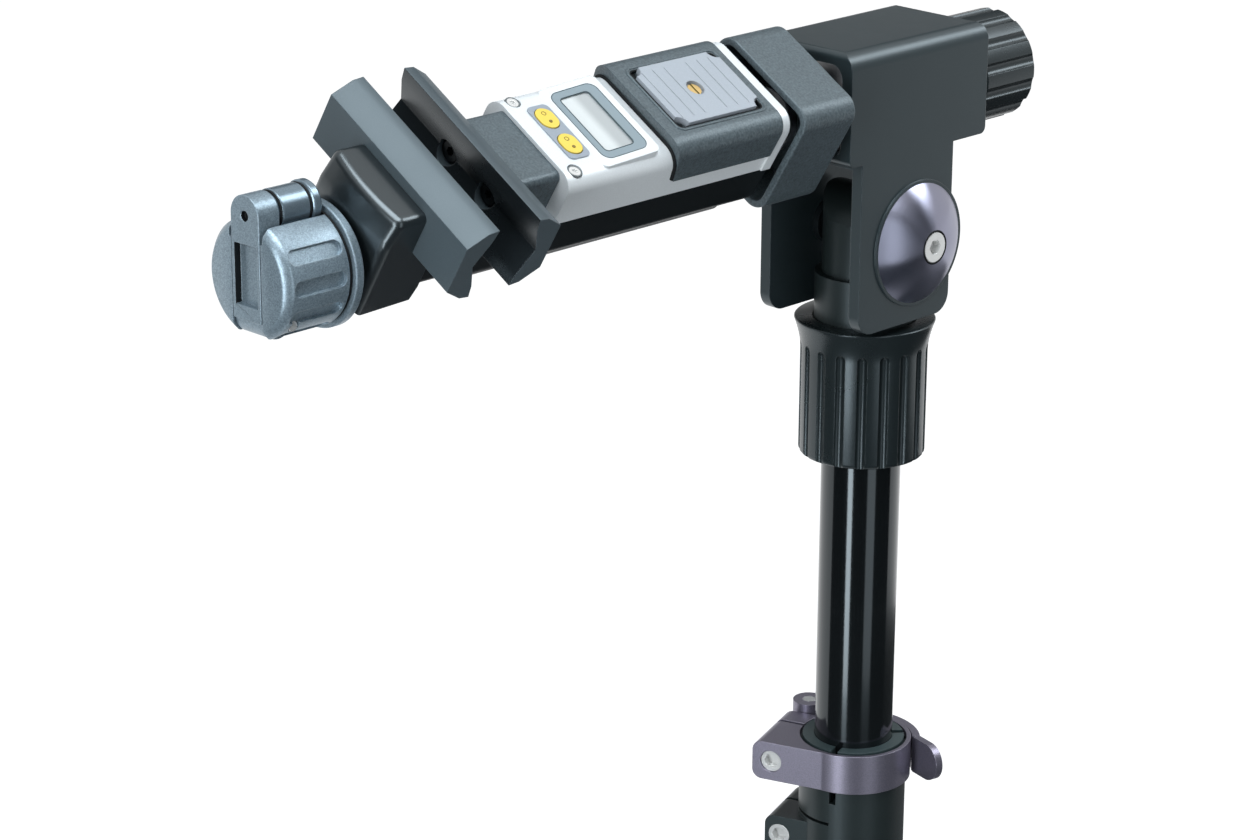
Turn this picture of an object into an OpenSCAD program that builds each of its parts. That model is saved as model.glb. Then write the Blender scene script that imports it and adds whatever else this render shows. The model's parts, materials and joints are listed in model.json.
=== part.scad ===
// Bicycle repair stand: folding tripod, telescopic mast, folding head and a weighing clamp arm.
// The origin is on the floor under the mast, +Z is up and the clamp arm points along -X.

/* [Mast] */
// Height of the mast clamp's top rim above the floor
clamp_z = 780; // [740:1:840]
// Outer diameter of the upper tube
upper_tube_d = 35; // [33:0.5:36]
// Wall of the upper tube
upper_tube_wall = 1.8; // [1.2:0.1:3]
// Length of upper tube inside the lower one
upper_tube_insert = 450; // [350:5:520]
// Outer diameter of the lower tube
lower_tube_d = 42; // [41:0.5:43]
// Wall of the lower tube
lower_tube_wall = 1.5; // [1.2:0.1:1.8]
// Height of the lower tube's end above the floor
lower_tube_z = 40; // [30:1:60]

/* [Tripod] */
// Outer diameter of the leg hub's sleeve
hub_d = 48; // [47:0.5:50]
// Depth of the leg pivots below the clamp's rim
hub_drop = 90; // [80:1:110]
// Depth of the hub's pinch bolt below the clamp's rim
pinch_drop = 47; // [45:0.5:49]
// Distance of the leg pivots from the mast axis
hub_pivot_r = 34; // [33.5:0.5:38]
// Direction of the first leg, in degrees from +X
leg_turn = 110; // [90:1:130]
// Distance of the feet from the mast axis
foot_r = 500; // [420:5:560]
// Outer diameter of a leg tube
leg_d = 25; // [22:0.5:25.5]
// Wall of a leg tube
leg_wall = 1.5; // [1:0.1:3]
// Diameter of a rubber foot
foot_d = 34; // [30:1:40]
// Diameter of the leg bolts
leg_bolt_d = 8; // [6:0.5:9]
// Height of the spreader's pivots above the floor
spreader_z = 270; // [255:1:290]
// Distance along a leg from its pivot to the strut
strut_reach = 380; // [360:1:385]
// Width of a strut bar
strut_w = 14; // [12:0.5:15]
// Thickness of a strut bar
strut_t = 3; // [2:0.5:4]
// Diameter of the strut pins
strut_pin_d = 6; // [4:0.5:7]

/* [Mast clamp] */
// Height of the clamp ring
clamp_h = 18.25; // [16:0.25:22]
// Thickness of the clamp ring
clamp_t = 2; // [1.5:0.1:3]
// Distance of the clamp bolt from the mast axis
clamp_bolt_r = 29.5; // [29.5:0.5:32]
// Diameter of the clamp bolts
clamp_bolt_d = 6; // [5:0.5:7]
// Width of the slots in the bush and the hub
slot_w = 3; // [2:0.5:4]
// Height of the lever
lever_h = 17; // [14:0.5:18]
// Thickness of the lever
lever_t = 3.5; // [2.5:0.5:4]

/* [Head] */
// Height of the fold pivot above the clamp's rim
pivot_rise = 236.5; // [230:0.5:250]
// Height of the arm's axis above the fold pivot
arm_rise = 60.5; // [59:0.5:62]
// Width of the head bracket
bracket_w = 56.4; // [55:0.2:60]
// Wall of the bracket's cheeks
bracket_wall = 5.5; // [4.5:0.1:6]
// Front end of the bracket's upper box
bracket_front = 44.4; // [43:0.2:48]
// Rear end of the bracket's upper box
bracket_rear = 42.7; // [40:0.1:46]
// Height of the bracket's upper box
bracket_box_h = 48; // [46.5:0.5:52]
// Front edge of the cheeks, ahead of the pivot
cheek_front = 36.6; // [32:0.2:40]
// Rear edge of the cheeks, behind the pivot
cheek_rear = 21.7; // [18:0.1:26]
// Length of the cheeks below the pivot
cheek_drop = 34.5; // [30:0.5:34.5]
// Radius of the bracket's long edges
bracket_edge_r = 7.3; // [4:0.1:9]
// Diameter of the domed caps
dome_d = 52; // [48:1:54]
// Height of the domed caps
dome_h = 9.8; // [8:0.2:13]
// Diameter of the pivot bolt
pivot_bolt_d = 8; // [6:0.5:10]
// Diameter of the neck's sleeve
neck_d = 44.4; // [42:0.2:44.6]
// Diameter of the neck's post
neck_post_d = 38.4; // [34:0.2:40]

/* [Lock collar] */
// Diameter of the lock collar's rim
lock_rim_d = 61.5; // [58:0.5:64]
// Diameter over the lock collar's ribs
lock_rib_d = 55.4; // [53:0.2:57]
// Length of the lock collar
lock_len = 62; // [55:1:70]
// Number of ribs
lock_ribs = 18; // [12:1:24]
// Gap between the lock collar's rim and the cheeks
lock_gap = 4; // [3:0.5:6]

/* [Rear knob] */
// Diameter of the rear knob
rear_knob_d = 48; // [42:1:52]
// Length of the rear knob
rear_knob_len = 40; // [36:1:46]
// Number of flutes on the rear knob
rear_knob_flutes = 14; // [8:1:20]
// Diameter of the arm's spindle
spindle_d = 18; // [14:1:20]

/* [Arm] */
// Turn of the arm about its own axis, in degrees
arm_turn = 31; // [0:1:60]
// Half width of the scale's housing
body_hw = 26; // [25:0.5:27]
// Height of the housing's top above the arm's axis
body_top = 23.5; // [22:0.5:25]
// Height of the seam between housing and tray
seam_z = 1.7; // [0:0.1:4]
// Depth of the tray's floor below the arm's axis
tray_drop = 17.5; // [16:0.5:19]
// Wall of the housing and the tray
shell_t = 2.5; // [1.5:0.1:3]
// Jaw end of the housing
body_front = 210; // [206:1:214]
// Yoke end of the housing
body_rear = 89; // [88.5:0.5:91]
// Half width of the yoke
yoke_hw = 28; // [27:0.5:30]
// Offset of the yoke towards the visible side
yoke_shift = 3; // [2:0.5:4]
// Height of the yoke's top above the arm's axis
yoke_top = 31.5; // [29:0.5:33]
// Depth of the yoke's underside below the arm's axis
yoke_drop = 21.5; // [21:0.5:24]
// Jaw end of the yoke
yoke_front = 85.5; // [80:0.5:90]
// Head end of the yoke
yoke_rear = 55; // [54:0.5:56]
// Jaw end of the battery saddle
saddle_front = 154.5; // [153:0.5:156]
// Yoke end of the battery saddle
saddle_rear = 94; // [93:0.5:95]
// Thickness of the saddle on top of the housing
saddle_t = 5.5; // [4.5:0.5:7]
// Thickness of the saddle's sides
saddle_side_t = 1.3; // [1:0.1:2]
// Length of the battery door
door_len = 43; // [38:1:46]
// Width of the battery door
door_w = 33; // [30:1:36]
// Thickness of the battery door
door_t = 3; // [2:0.5:4]

/* [Scale panel] */
// Jaw end of the display bezel
bezel_front = 186.5; // [185:0.5:188]
// Length of the display bezel
bezel_len = 23; // [20:0.5:24]
// Width of the display bezel
bezel_w = 38; // [34:1:40]
// Length of the display window
window_len = 15; // [10:0.5:17]
// Width of the display window
window_w = 31; // [26:1:32]
// Length of the keypad
keypad_len = 11; // [10:0.5:12]
// Width of the keypad
keypad_w = 30; // [28:1:34]
// Distance between the two buttons
button_pitch = 14.8; // [14:0.2:16]
// Width of a button
button_w = 8.6; // [7:0.2:9]
// Length of a button
button_len = 11; // [9:0.2:12]

/* [Clamp] */
// Length of the jaws
jaw_len = 87; // [70:1:100]
// Height of the jaws
jaw_h = 34; // [32:0.5:36]
// Depth of the jaws from back to lips
jaw_depth = 13.5; // [12.5:0.5:15]
// Depth of the groove in the jaws
jaw_groove = 5.75; // [3:0.25:6]
// Height of the jaws' centre above the arm's axis
jaw_z = 12.5; // [12:0.5:14]
// Back face of the fixed jaw
jaw_back = 231; // [230:0.5:233]
// Gap between the jaws' lips
jaw_gap = 20.5; // [15:0.5:30]
// Distance between a jaw's two screws
jaw_screw_pitch = 24.6; // [20:0.2:28]
// Half width of the keel channel
keel_hw = 20; // [19:0.5:21]
// Depth of the keel's underside below the arm's axis
keel_drop = 28; // [27.5:0.25:30]
// Wall of the keel channel
keel_t = 2.3; // [2:0.1:2.5]
// Wall of the guide beam
beam_t = 4; // [3:0.25:4.5]
// Depth of the lead screw below the arm's axis
screw_drop = 17.1; // [17:0.1:18]
// Diameter of the lead screw
screw_d = 10; // [7:0.5:10]
// Length of the carriage's top
carriage_top = 13; // [11:0.5:15]
// Half width of the carriage
carriage_hw = 21.5; // [19:0.5:23]

/* [Crank] */
// Diameter of the knob's flange
flange_d = 49.6; // [48:0.2:54]
// Thickness of the knob's flange
flange_t = 4.4; // [3:0.2:6]
// Diameter of the knob's body
knob_d = 46.4; // [45:0.2:48]
// Length of the knob's body
knob_len = 28; // [27:0.5:34]
// Number of flutes round the knob
knob_flutes = 8; // [6:1:10]
// Width of the crank arm
crank_w = 16; // [14:0.5:17]
// Thickness of the crank arm
crank_t = 10; // [9:0.5:11]
// Height of the grip above the screw's axis
grip_rise = 24.4; // [23:0.1:25]
// Depth of the crank's pin below the screw's axis
crank_pin_drop = 15.5; // [15:0.5:17]
// Diameter of the crank's pin
crank_pin_d = 4; // [3:0.5:5]
// Diameter of the grip
grip_d = 16; // [14:0.5:17]

/* [Fits] */
// Clearance on each side of parts that move past each other
slide_gap = 0.3; // [0.2:0.05:0.4]
// Radial clearance of pins and shafts
run_gap = 0.05; // [0.03:0.01:0.08]

/* [Hidden] */
$fn = 64;
eps = 0.1;
leg_count = 3;
leg_step = 360 / leg_count;

// Mast and tripod
upper_r = upper_tube_d / 2;
lower_r = lower_tube_d / 2;
lower_ir = lower_r - lower_tube_wall;
hub_r = hub_d / 2;
hub_z = clamp_z - hub_drop;
hub_rim = 2.5;
hub_below = 12;
tube_stop_z = clamp_z - 30;
slot_z = clamp_z - 25;
slot_offset = 30;
plug_h = 24;
plug_lip = 6;
glide_h = 12;
glide_spigot = 22;
ear_r = 9;
ear_t = 6;
tongue_w = 2 * leg_bolt_d - 2 * slide_gap;
tongue_r = 7.5;
socket_t = 1.2;
socket_start = 20;
socket_len = 28;
tube_start = socket_start + 3;
leg_bolt_head_d = 1.6 * leg_bolt_d;
splay = atan((foot_r - hub_pivot_r) / hub_z);
leg_len = (foot_r - hub_pivot_r) / sin(splay);
foot_len = 52;
foot_over = foot_d;
strut_foot_x = strut_reach * sin(splay);
strut_foot_z = hub_z - strut_reach * cos(splay) - spreader_z;
strut_len = norm([strut_foot_x, strut_foot_z]);
strut_rise = atan(strut_foot_z / strut_foot_x);
strut_y = leg_d / 2 + 1.5;
spreader_h = 40;
spreader_t = 5.5;

// Mast clamp, in a frame that has its bolt ears along +X
clamp_ri = hub_r + run_gap;
clamp_ro = clamp_ri + clamp_t;
clamp_mid = clamp_z - clamp_h / 2;
ear_split = 2;
front_ear = 24.5;
ear_corner = 4.5;
rear_ear = 12;
ear_end = 9;
clamp_head_d = 10;
clamp_head_h = 6;
lever_pin_d = 6;
lever_cam_r = 7.5;
lever_y = rear_ear + slide_gap + lever_cam_r;
lever_in = clamp_ro + 0.6;
lever_start = 38;
lever_sweep = 119;
lever_open = 100;
barrel_low = 11;
barrel_high = 13;
tongue_len = 18;
tongue_turn = 34;
pinch_r = 27;
pinch_z = clamp_z - pinch_drop;
pinch_h = 18;
pinch_front = 20;
pinch_rear = 14;
pinch_end = 7;
pinch_slit = 1.5;
pinch_band = 2;

// Head
pivot_z = clamp_z + pivot_rise;
arm_z = pivot_z + arm_rise;
bracket_hw = bracket_w / 2;
cheek_in = bracket_hw - bracket_wall;
box_top = arm_z + bracket_box_h / 2 + 4;
box_bottom = box_top - bracket_box_h;
cheek_bottom = pivot_z - cheek_drop;
cheek_r = 8.5;
floor_t = 6;
rear_wall = 12.7;
hollow_hw = cheek_in;
hollow_r = 6;
hollow_top = box_top - bracket_wall;
hollow_bottom = box_bottom + 3;
bearing_front = 34;
bearing_len = 12;
rear_bush_r = spindle_d / 2 + 3;
dome_r = dome_d / 2;
dome_ball = (dome_r * dome_r + dome_h * dome_h) / (2 * dome_h);
bolt_head_d = 13;
bolt_head_h = 8;
hex_r = 3.5;
hex_depth = 4;
washer_r = 10;
neck_r = neck_d / 2;
post_r = neck_post_d / 2;
neck_bottom = pivot_z - 46.5;
neck_shoulder = pivot_z - 18;
tube_top = pivot_z - 25;

// Lock collar
lock_top = cheek_bottom - lock_gap;
lock_bottom = lock_top - lock_len;
lock_rim_h = 8;
lock_flare_h = 6;
lock_seat_r = neck_r + slide_gap + 0.3;
lock_seat_z = neck_bottom - 3;
lock_flute_r = 2.2;

// Rear knob
rear_knob_x = bracket_rear + slide_gap;
spindle_r = spindle_d / 2;
spindle_end = rear_knob_x + rear_knob_len - 13;
rear_flute_r = 3;

// Arm, in its own frame: X along the arm, Z out of the display
housing_r = 7;
tray_r = 5;
yoke_r = 8;
yoke_wall = 3.2;
yoke_floor = 7;
spindle_head_r = 14;
spindle_head_t = 4.4;
collar_r = 16;
saddle_bottom = seam_z + 8.8;
saddle_slant = 4.5;
saddle_top = body_top + saddle_t;
door_mid = (saddle_front + saddle_rear) / 2;
door_z = saddle_top - 1.5;
door_notch_r = 4.5;
door_groove_w = 1.4;
coin_r = 3.6;
coin_shank_r = 2;
bezel_t = 1.6;
bezel_mid = bezel_front - bezel_len / 2;
panel_rise = 2.4;
panel_margin = 3.5;
panel_len = bezel_len + 2 * panel_margin;
panel_tilt = atan(panel_rise / panel_len);
panel_depth = 6;
panel_r = 3;
bezel_r = 4;
window_shift = 1;
display_t = 1;
keypad_mid = bezel_front + 10;
keypad_t = 0.6;
button_rise = 1.4;
button_flange = 0.9;
roof_z = body_top - shell_t;
screw_inset = 6;

// Clamp
beam_gap = slide_gap;
keel_top = jaw_z - jaw_h / 2 - 1;
keel_front = jaw_back + 6;
keel_rear = 100;
keel_r = 7;
keel_mid = (keel_top - keel_drop) / 2;
keel_h = keel_top + keel_drop;
beam_hw = keel_hw - keel_t - beam_gap;
beam_h = keel_h - 2 * keel_t - 2 * beam_gap;
beam_r = 4;
beam_rear = 150;
screw_r = screw_d / 2;
nut_front = 190;
nut_len = 20;
nut_hw = beam_hw - beam_t - 3;
jaw_block_hw = 19.7;
jaw_block_top = body_top - 1.5;
jaw_slope = 8.5;
jaw_waist = 11;
lip_step = 1.2;
moving_back = jaw_back + 2 * jaw_depth + jaw_gap;
jaw_screw_d = 5;
jaw_head_r = 4.3;
jaw_head_h = 3;
jaw_head_clear = 0.9;
jaw_screw_len = 14;
carriage_back = moving_back + carriage_top + 3;
carriage_heel = moving_back - 12;
carriage_boss_r = 14;
carriage_boss = 3.8;
cell_hw = 9;
cell_h = 14;
cell_front = 140;

// Crank, in a frame that has the screw along X and the folded crank arm along +Z
flange_x = -(carriage_back + carriage_boss + slide_gap);
knob_x = flange_x - flange_t;
knob_end = knob_x - knob_len;
crank_in = knob_end + 6;
crank_out = crank_in - crank_t;
crank_pin_x = crank_in - 2;
crank_slot = crank_w + 2 * slide_gap + 0.4;
crank_knuckle_r = 7;
crank_sweep_r = crank_in - crank_out - 2 + 0.4;
grip_len = knob_len - 8;
grip_x = crank_in + 0.6;
grip_axle_r = 3;
trough_w = grip_d + 3;
trough_z = grip_rise - grip_d / 2 - 1.2;
knob_flute_len = 20;
knob_flute_w = 8;
knob_flute_depth = 1.6;
pocket_w = 10;
pocket_len = 22;
pocket_depth = 1.8;

// Shared shapes

// Solid rod along X between two places
module rod_x(r, x0, x1) {
    translate([x0, 0, 0])
        rotate([0, 90, 0])
            cylinder(r = r, h = x1 - x0);
}

// Solid rod along Y between two places
module rod_y(r, y0, y1) {
    translate([0, y0, 0])
        rotate([-90, 0, 0])
            cylinder(r = r, h = y1 - y0);
}

// Rectangle with round corners about its own centre
module round_rect(w, h, r) {
    square([w - 2 * r, h], center = true);
    square([w, h - 2 * r], center = true);
    for (x = [-1, 1], y = [-1, 1])
        translate([x * (w / 2 - r), y * (h / 2 - r)])
            circle(r = r);
}

// Rounded bar along X, given by its half width and its lowest and highest faces
module bar_x(x0, x1, hw, z0, z1, r) {
    translate([x0, 0, (z0 + z1) / 2])
        rotate([90, 0, 90])
            linear_extrude(x1 - x0)
                round_rect(2 * hw, z1 - z0, r);
}

// Plain box between two corners
module box(low, high) {
    translate(low)
        cube(high - low);
}

// Slab along Y of a drawing in the XZ plane
module slab_y(w) {
    rotate([90, 0, 0])
        linear_extrude(w, center = true)
            children();
}

// Frame of the clamp arm, turned about its axis
module in_arm() {
    translate([0, 0, arm_z])
        rotate([arm_turn, 0, 0])
            children();
}

// Frame of the crank: on the lead screw, with the folded crank arm upright
module in_crank() {
    in_arm()
        translate([0, 0, -screw_drop])
            rotate([-arm_turn, 0, 0])
                children();
}

// Frame of one leg's radial plane
module at_leg(i) {
    rotate([0, 0, leg_turn + leg_step * i])
        children();
}

// Frame along one leg, from its pivot to its foot
module along_leg(i) {
    at_leg(i)
        translate([hub_pivot_r, 0, hub_z])
            rotate([0, 180 - splay, 0])
                children();
}

// Frame of the mast clamp's ears, at mid height
module at_clamp() {
    rotate([0, 0, leg_turn])
        translate([0, 0, clamp_mid])
            children();
}

// Frame of the hub's pinch ears, at mid height
module at_pinch() {
    rotate([0, 0, leg_turn])
        translate([0, 0, pinch_z])
            children();
}

// Elevation of a pair of ears that reach out along +X
module ear_elevation(reach, h) {
    translate([-2 * clamp_ro, -h / 2])
        square([2 * clamp_ro + reach - h / 2, h]);
    translate([reach - h / 2, 0])
        round_rect(h, h, ear_corner);
}

// Hex socket in a bolt head that faces +Z
module hex_socket(top) {
    translate([0, 0, top - hex_depth])
        cylinder(r = hex_r, h = hex_depth + eps, $fn = 6);
}

// Slots that let the bush and the hub close on the tube
module clamp_slots(z0) {
    for (i = [0 : leg_count - 1])
        rotate([0, 0, leg_turn - slot_offset + leg_step * i])
            box([0, -slot_w / 2, z0], [2 * hub_r, slot_w / 2, clamp_z + hub_rim]);
}

// Tripod

module leg_hub() {
    ears_in = tongue_w / 2 + slide_gap;
    color("#1b1b1d")
    difference() {
        union() {
            translate([0, 0, hub_z - hub_below])
                cylinder(r = hub_r, h = clamp_z - hub_rim - hub_z + hub_below);
            for (i = [0 : leg_count - 1], side = [-1, 1])
                at_leg(i)
                    translate([0, side * (ears_in + ear_t / 2), hub_z])
                        slab_y(ear_t) {
                            translate([hub_pivot_r, 0])
                                circle(r = ear_r);
                            translate([0, -ear_r])
                                square([hub_pivot_r, 2 * ear_r]);
                        }
            at_pinch()
                intersection() {
                    slab_y(4 * hub_r)
                        ear_elevation(pinch_r + pinch_end, pinch_h);
                    box([0, -pinch_rear, -pinch_h], [2 * hub_r, pinch_front, pinch_h]);
                }
        }
        translate([0, 0, hub_z - hub_below - eps])
            cylinder(r = lower_r + run_gap, h = tube_stop_z - hub_z + hub_below + eps);
        at_pinch()
            pinch_cuts();
        cylinder(r = lower_ir + 0.5 + run_gap, h = clamp_z);
        clamp_slots(slot_z);
        for (i = [0 : leg_count - 1])
            at_leg(i)
                translate([hub_pivot_r, 0, hub_z])
                    rod_y(leg_bolt_d / 2 + run_gap, -hub_r, hub_r);
    }
}

// Split, relief slits and bolt hole of the hub's pinch ears
module pinch_cuts() {
    half = pinch_h / 2;
    box([0, -ear_split / 2, -half - pinch_band - eps], [2 * hub_r, ear_split / 2, half + pinch_band + eps]);
    for (z = [-half - pinch_band - pinch_slit, half + pinch_band])
        box([pinch_slit, -2 * hub_r, z], [2 * hub_r, 2 * hub_r, z + pinch_slit]);
    translate([pinch_r, 0, 0]) {
        rod_y(clamp_bolt_d / 2 + run_gap, -2 * hub_r, 2 * hub_r);
        rod_y(clamp_head_d / 2 + run_gap, pinch_front - clamp_head_h, 2 * hub_r);
    }
}

module lower_tube() {
    color("#161618")
    translate([0, 0, lower_tube_z])
        difference() {
            cylinder(r = lower_r, h = tube_stop_z - lower_tube_z);
            translate([0, 0, -eps])
                cylinder(r = lower_ir, h = tube_stop_z);
        }
}

module tube_plug() {
    color("#101010")
    translate([0, 0, lower_tube_z - plug_lip]) {
        cylinder(r = lower_r, h = plug_lip);
        cylinder(r = lower_ir - run_gap, h = plug_h);
    }
}

module leg_bolts() {
    grip_y = tongue_w / 2 + slide_gap + ear_t;
    head_h = 0.75 * leg_bolt_d;
    color("#c9ccd0")
    for (i = [0 : leg_count - 1])
        at_leg(i)
            translate([hub_pivot_r, 0, hub_z])
                difference() {
                    union() {
                        rod_y(leg_bolt_d / 2, -grip_y, grip_y);
                        rod_y(leg_bolt_head_d / 2, grip_y, grip_y + head_h);
                        rod_y(leg_bolt_head_d / 2, -grip_y - head_h, -grip_y);
                    }
                    rotate([-90, 0, 0])
                        hex_socket(grip_y + head_h);
                }
}

module leg_tube(i) {
    color("#151517")
    along_leg(i)
        translate([0, 0, tube_start])
            difference() {
                cylinder(d = leg_d, h = leg_len - foot_over - tube_start);
                translate([0, 0, -eps])
                    cylinder(d = leg_d - 2 * leg_wall, h = leg_len);
            }
}

module knuckle(i) {
    color("#202124")
    along_leg(i)
        difference() {
            union() {
                rod_y(tongue_r, -tongue_w / 2, tongue_w / 2);
                box([-tongue_r, -tongue_w / 2, 0], [tongue_r, tongue_w / 2, tube_start]);
                translate([0, 0, socket_start])
                    cylinder(r = leg_d / 2 + socket_t, h = socket_len);
            }
            rod_y(leg_bolt_d / 2 + run_gap, -tongue_w, tongue_w);
            translate([0, 0, tube_start])
                cylinder(r = leg_d / 2 + run_gap, h = socket_len);
        }
}

module foot(i) {
    color("#0d0d0e")
    intersection() {
        along_leg(i)
            difference() {
                translate([0, 0, leg_len - foot_over - foot_len / 2])
                    cylinder(d = foot_d, h = foot_len + foot_over);
                cylinder(r = leg_d / 2 + run_gap, h = leg_len - foot_over + run_gap);
            }
        translate([-2 * foot_r, -2 * foot_r, 0])
            cube([4 * foot_r, 4 * foot_r, hub_z]);
    }
}

module spreader() {
    lug_w = 2 * (strut_y - slide_gap);
    color("#1d1e20")
    difference() {
        union() {
            translate([0, 0, spreader_z - spreader_h / 2])
                cylinder(r = lower_r + slide_gap + spreader_t, h = spreader_h);
            for (i = [0 : leg_count - 1])
                at_leg(i)
                    translate([0, 0, spreader_z])
                        slab_y(lug_w) {
                            translate([hub_pivot_r, 0])
                                circle(d = strut_w);
                            translate([0, -strut_w / 2])
                                square([hub_pivot_r, strut_w]);
                        }
        }
        cylinder(r = lower_r + slide_gap, h = clamp_z);
        for (i = [0 : leg_count - 1])
            at_leg(i)
                translate([hub_pivot_r, 0, spreader_z])
                    rod_y(strut_pin_d / 2 + run_gap, -lug_w, lug_w);
    }
}

module strut_pins() {
    pin_y = strut_y + strut_t + slide_gap;
    color("#b9bcc0")
    for (i = [0 : leg_count - 1])
        at_leg(i)
            translate([hub_pivot_r, 0, spreader_z]) {
                rod_y(strut_pin_d / 2, -pin_y, pin_y);
                for (side = [-1, 1])
                    translate([0, side * (pin_y + strut_t / 4), 0])
                        rod_y(0.8 * strut_pin_d, -strut_t / 4, strut_t / 4);
            }
}

module strut(i) {
    rivet_t = strut_t / 2;
    color("#26272a")
    at_leg(i)
        translate([hub_pivot_r, 0, spreader_z])
            rotate([0, -strut_rise, 0])
                for (side = [-1, 1]) {
                    translate([0, side * (strut_y + strut_t / 2), 0])
                        slab_y(strut_t)
                            difference() {
                                union() {
                                    translate([0, -strut_w / 2])
                                        square([strut_len, strut_w]);
                                    for (x = [0, strut_len])
                                        translate([x, 0])
                                            circle(d = strut_w);
                                }
                                circle(d = strut_pin_d + 2 * run_gap);
                            }
                    translate([strut_len, side * (strut_y + strut_t + rivet_t / 2), 0])
                        rod_y(0.8 * strut_pin_d, -rivet_t / 2, rivet_t / 2);
                }
}

// Mast

module mast_bush() {
    color("#3a3b3e")
    difference() {
        union() {
            translate([0, 0, tube_stop_z])
                cylinder(r = lower_ir + 0.5, h = clamp_z - hub_rim - tube_stop_z);
            translate([0, 0, clamp_z - hub_rim])
                cylinder(r = hub_r - 1.2, h = hub_rim + 0.5);
        }
        cylinder(r = upper_r + run_gap, h = 2 * clamp_z);
        clamp_slots(slot_z);
    }
}

module mast_glide() {
    top_z = clamp_z - upper_tube_insert;
    color("#2c2c2e")
    translate([0, 0, top_z - glide_h]) {
        cylinder(r = lower_ir - slide_gap, h = glide_h);
        cylinder(r = upper_r - upper_tube_wall - run_gap, h = glide_h + glide_spigot);
    }
}

module upper_tube() {
    low_z = clamp_z - upper_tube_insert;
    color("#141416")
    translate([0, 0, low_z])
        difference() {
            cylinder(r = upper_r, h = tube_top - low_z);
            translate([0, 0, -eps])
                cylinder(r = upper_r - upper_tube_wall, h = tube_top);
        }
}

module clamp_ring() {
    reach = clamp_bolt_r + ear_end;
    color("#57525f")
    at_clamp()
        difference() {
            intersection() {
                translate([0, 0, -clamp_h / 2])
                    linear_extrude(clamp_h)
                        difference() {
                            union() {
                                circle(r = clamp_ro);
                                translate([0, -rear_ear])
                                    square([reach, rear_ear + ear_split / 2 + front_ear]);
                            }
                            circle(r = clamp_ri);
                            translate([0, -ear_split / 2])
                                square([2 * reach, ear_split]);
                        }
                slab_y(4 * clamp_ro)
                    ear_elevation(reach, clamp_h);
            }
            translate([clamp_bolt_r, 0, 0]) {
                rod_y(clamp_bolt_d / 2 + run_gap, -2 * rear_ear, 2 * front_ear);
                rod_y(clamp_head_d / 2 + run_gap, front_ear - clamp_head_h, 2 * front_ear);
            }
        }
}

// Socket bolt along Y between two places, with its head at the far one
module pinch_bolt(y0, y1) {
    difference() {
        union() {
            rod_y(clamp_bolt_d / 2, y0, y1);
            rod_y(clamp_head_d / 2, y1 - clamp_head_h, y1);
        }
        rotate([-90, 0, 0])
            hex_socket(y1);
    }
}

module clamp_bolts() {
    color("#cfd2d6") {
        at_clamp()
            translate([clamp_bolt_r, 0, 0])
                pinch_bolt(-lever_y + lever_pin_d / 2 + slide_gap, front_ear);
        at_pinch()
            translate([pinch_r, 0, 0])
                pinch_bolt(-pinch_rear, pinch_front);
    }
}

module clamp_lever() {
    tip_r = lever_in + lever_t / 2;
    color("#544f5c")
    at_clamp()
        difference() {
            union() {
                translate([clamp_bolt_r, -lever_y, -barrel_low])
                    cylinder(r = lever_cam_r, h = barrel_low + barrel_high);
                translate([0, 0, -lever_h / 2])
                    linear_extrude(lever_h)
                        rotate([0, 0, -lever_start - lever_sweep])
                            lever_band();
                rotate([0, 0, -lever_start - lever_sweep])
                    translate([tip_r, 0, 0])
                        rotate([0, 0, tongue_turn - 90])
                            lever_tongue();
            }
            translate([clamp_bolt_r, -lever_y, -2 * barrel_low])
                cylinder(d = lever_pin_d + 2 * run_gap, h = 4 * barrel_high);
            translate([clamp_bolt_r, -lever_y, -clamp_bolt_d / 2 - slide_gap])
                linear_extrude(clamp_bolt_d + 2 * slide_gap)
                    lever_slot();
        }
}

// Rounded tongue at the lever's end, along +X
module lever_tongue() {
    slab_y(lever_t) {
        translate([0, -lever_h / 2])
            square([tongue_len - lever_h / 2, lever_h]);
        translate([tongue_len - lever_h / 2, 0])
            circle(d = lever_h);
    }
}

// Drawing of the slot in which the clamp bolt stays while the lever opens
module lever_slot() {
    half = clamp_bolt_d / 2 + slide_gap;
    reach = 2 * lever_cam_r;
    circle(r = 1.5 * half);
    for (turn = [0, -lever_open])
        rotate([0, 0, turn])
            translate([-half, 0])
                square([2 * half, reach]);
    rotate([0, 0, 90 - lever_open])
        polygon([[0, 0], [reach, 0], reach * [cos(35), sin(35)], reach * [cos(70), sin(70)],
            reach * [cos(lever_open), sin(lever_open)]]);
}

// Drawing of the lever's band, which wraps round the clamp ring
module lever_band() {
    reach = 3 * clamp_ro;
    intersection() {
        difference() {
            circle(r = lever_in + lever_t);
            circle(r = lever_in);
        }
        polygon([[0, 0], [reach, 0], reach * [cos(50), sin(50)], reach * [cos(80), sin(80)],
            reach * [cos(lever_sweep + 8), sin(lever_sweep + 8)]]);
    }
}

module lever_pin() {
    color("#a9acb2")
    at_clamp()
        translate([clamp_bolt_r, -lever_y, -barrel_low])
            cylinder(d = lever_pin_d, h = barrel_low + barrel_high);
}

// Head

module neck() {
    color("#1e1f22")
    difference() {
        union() {
            translate([0, 0, neck_bottom])
                cylinder(r = neck_r, h = neck_shoulder - neck_bottom);
            translate([0, 0, neck_shoulder])
                cylinder(r = post_r, h = pivot_z - neck_shoulder);
            translate([0, 0, pivot_z])
                intersection() {
                    rod_y(post_r, -post_r, post_r);
                    translate([0, 0, -post_r])
                        cylinder(r = post_r, h = 2 * post_r);
                }
        }
        translate([0, 0, neck_bottom - eps])
            cylinder(r = upper_r + run_gap, h = tube_top - neck_bottom + eps);
        translate([0, 0, pivot_z])
            rod_y(pivot_bolt_d / 2 + run_gap, -neck_d, neck_d);
    }
}

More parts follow.
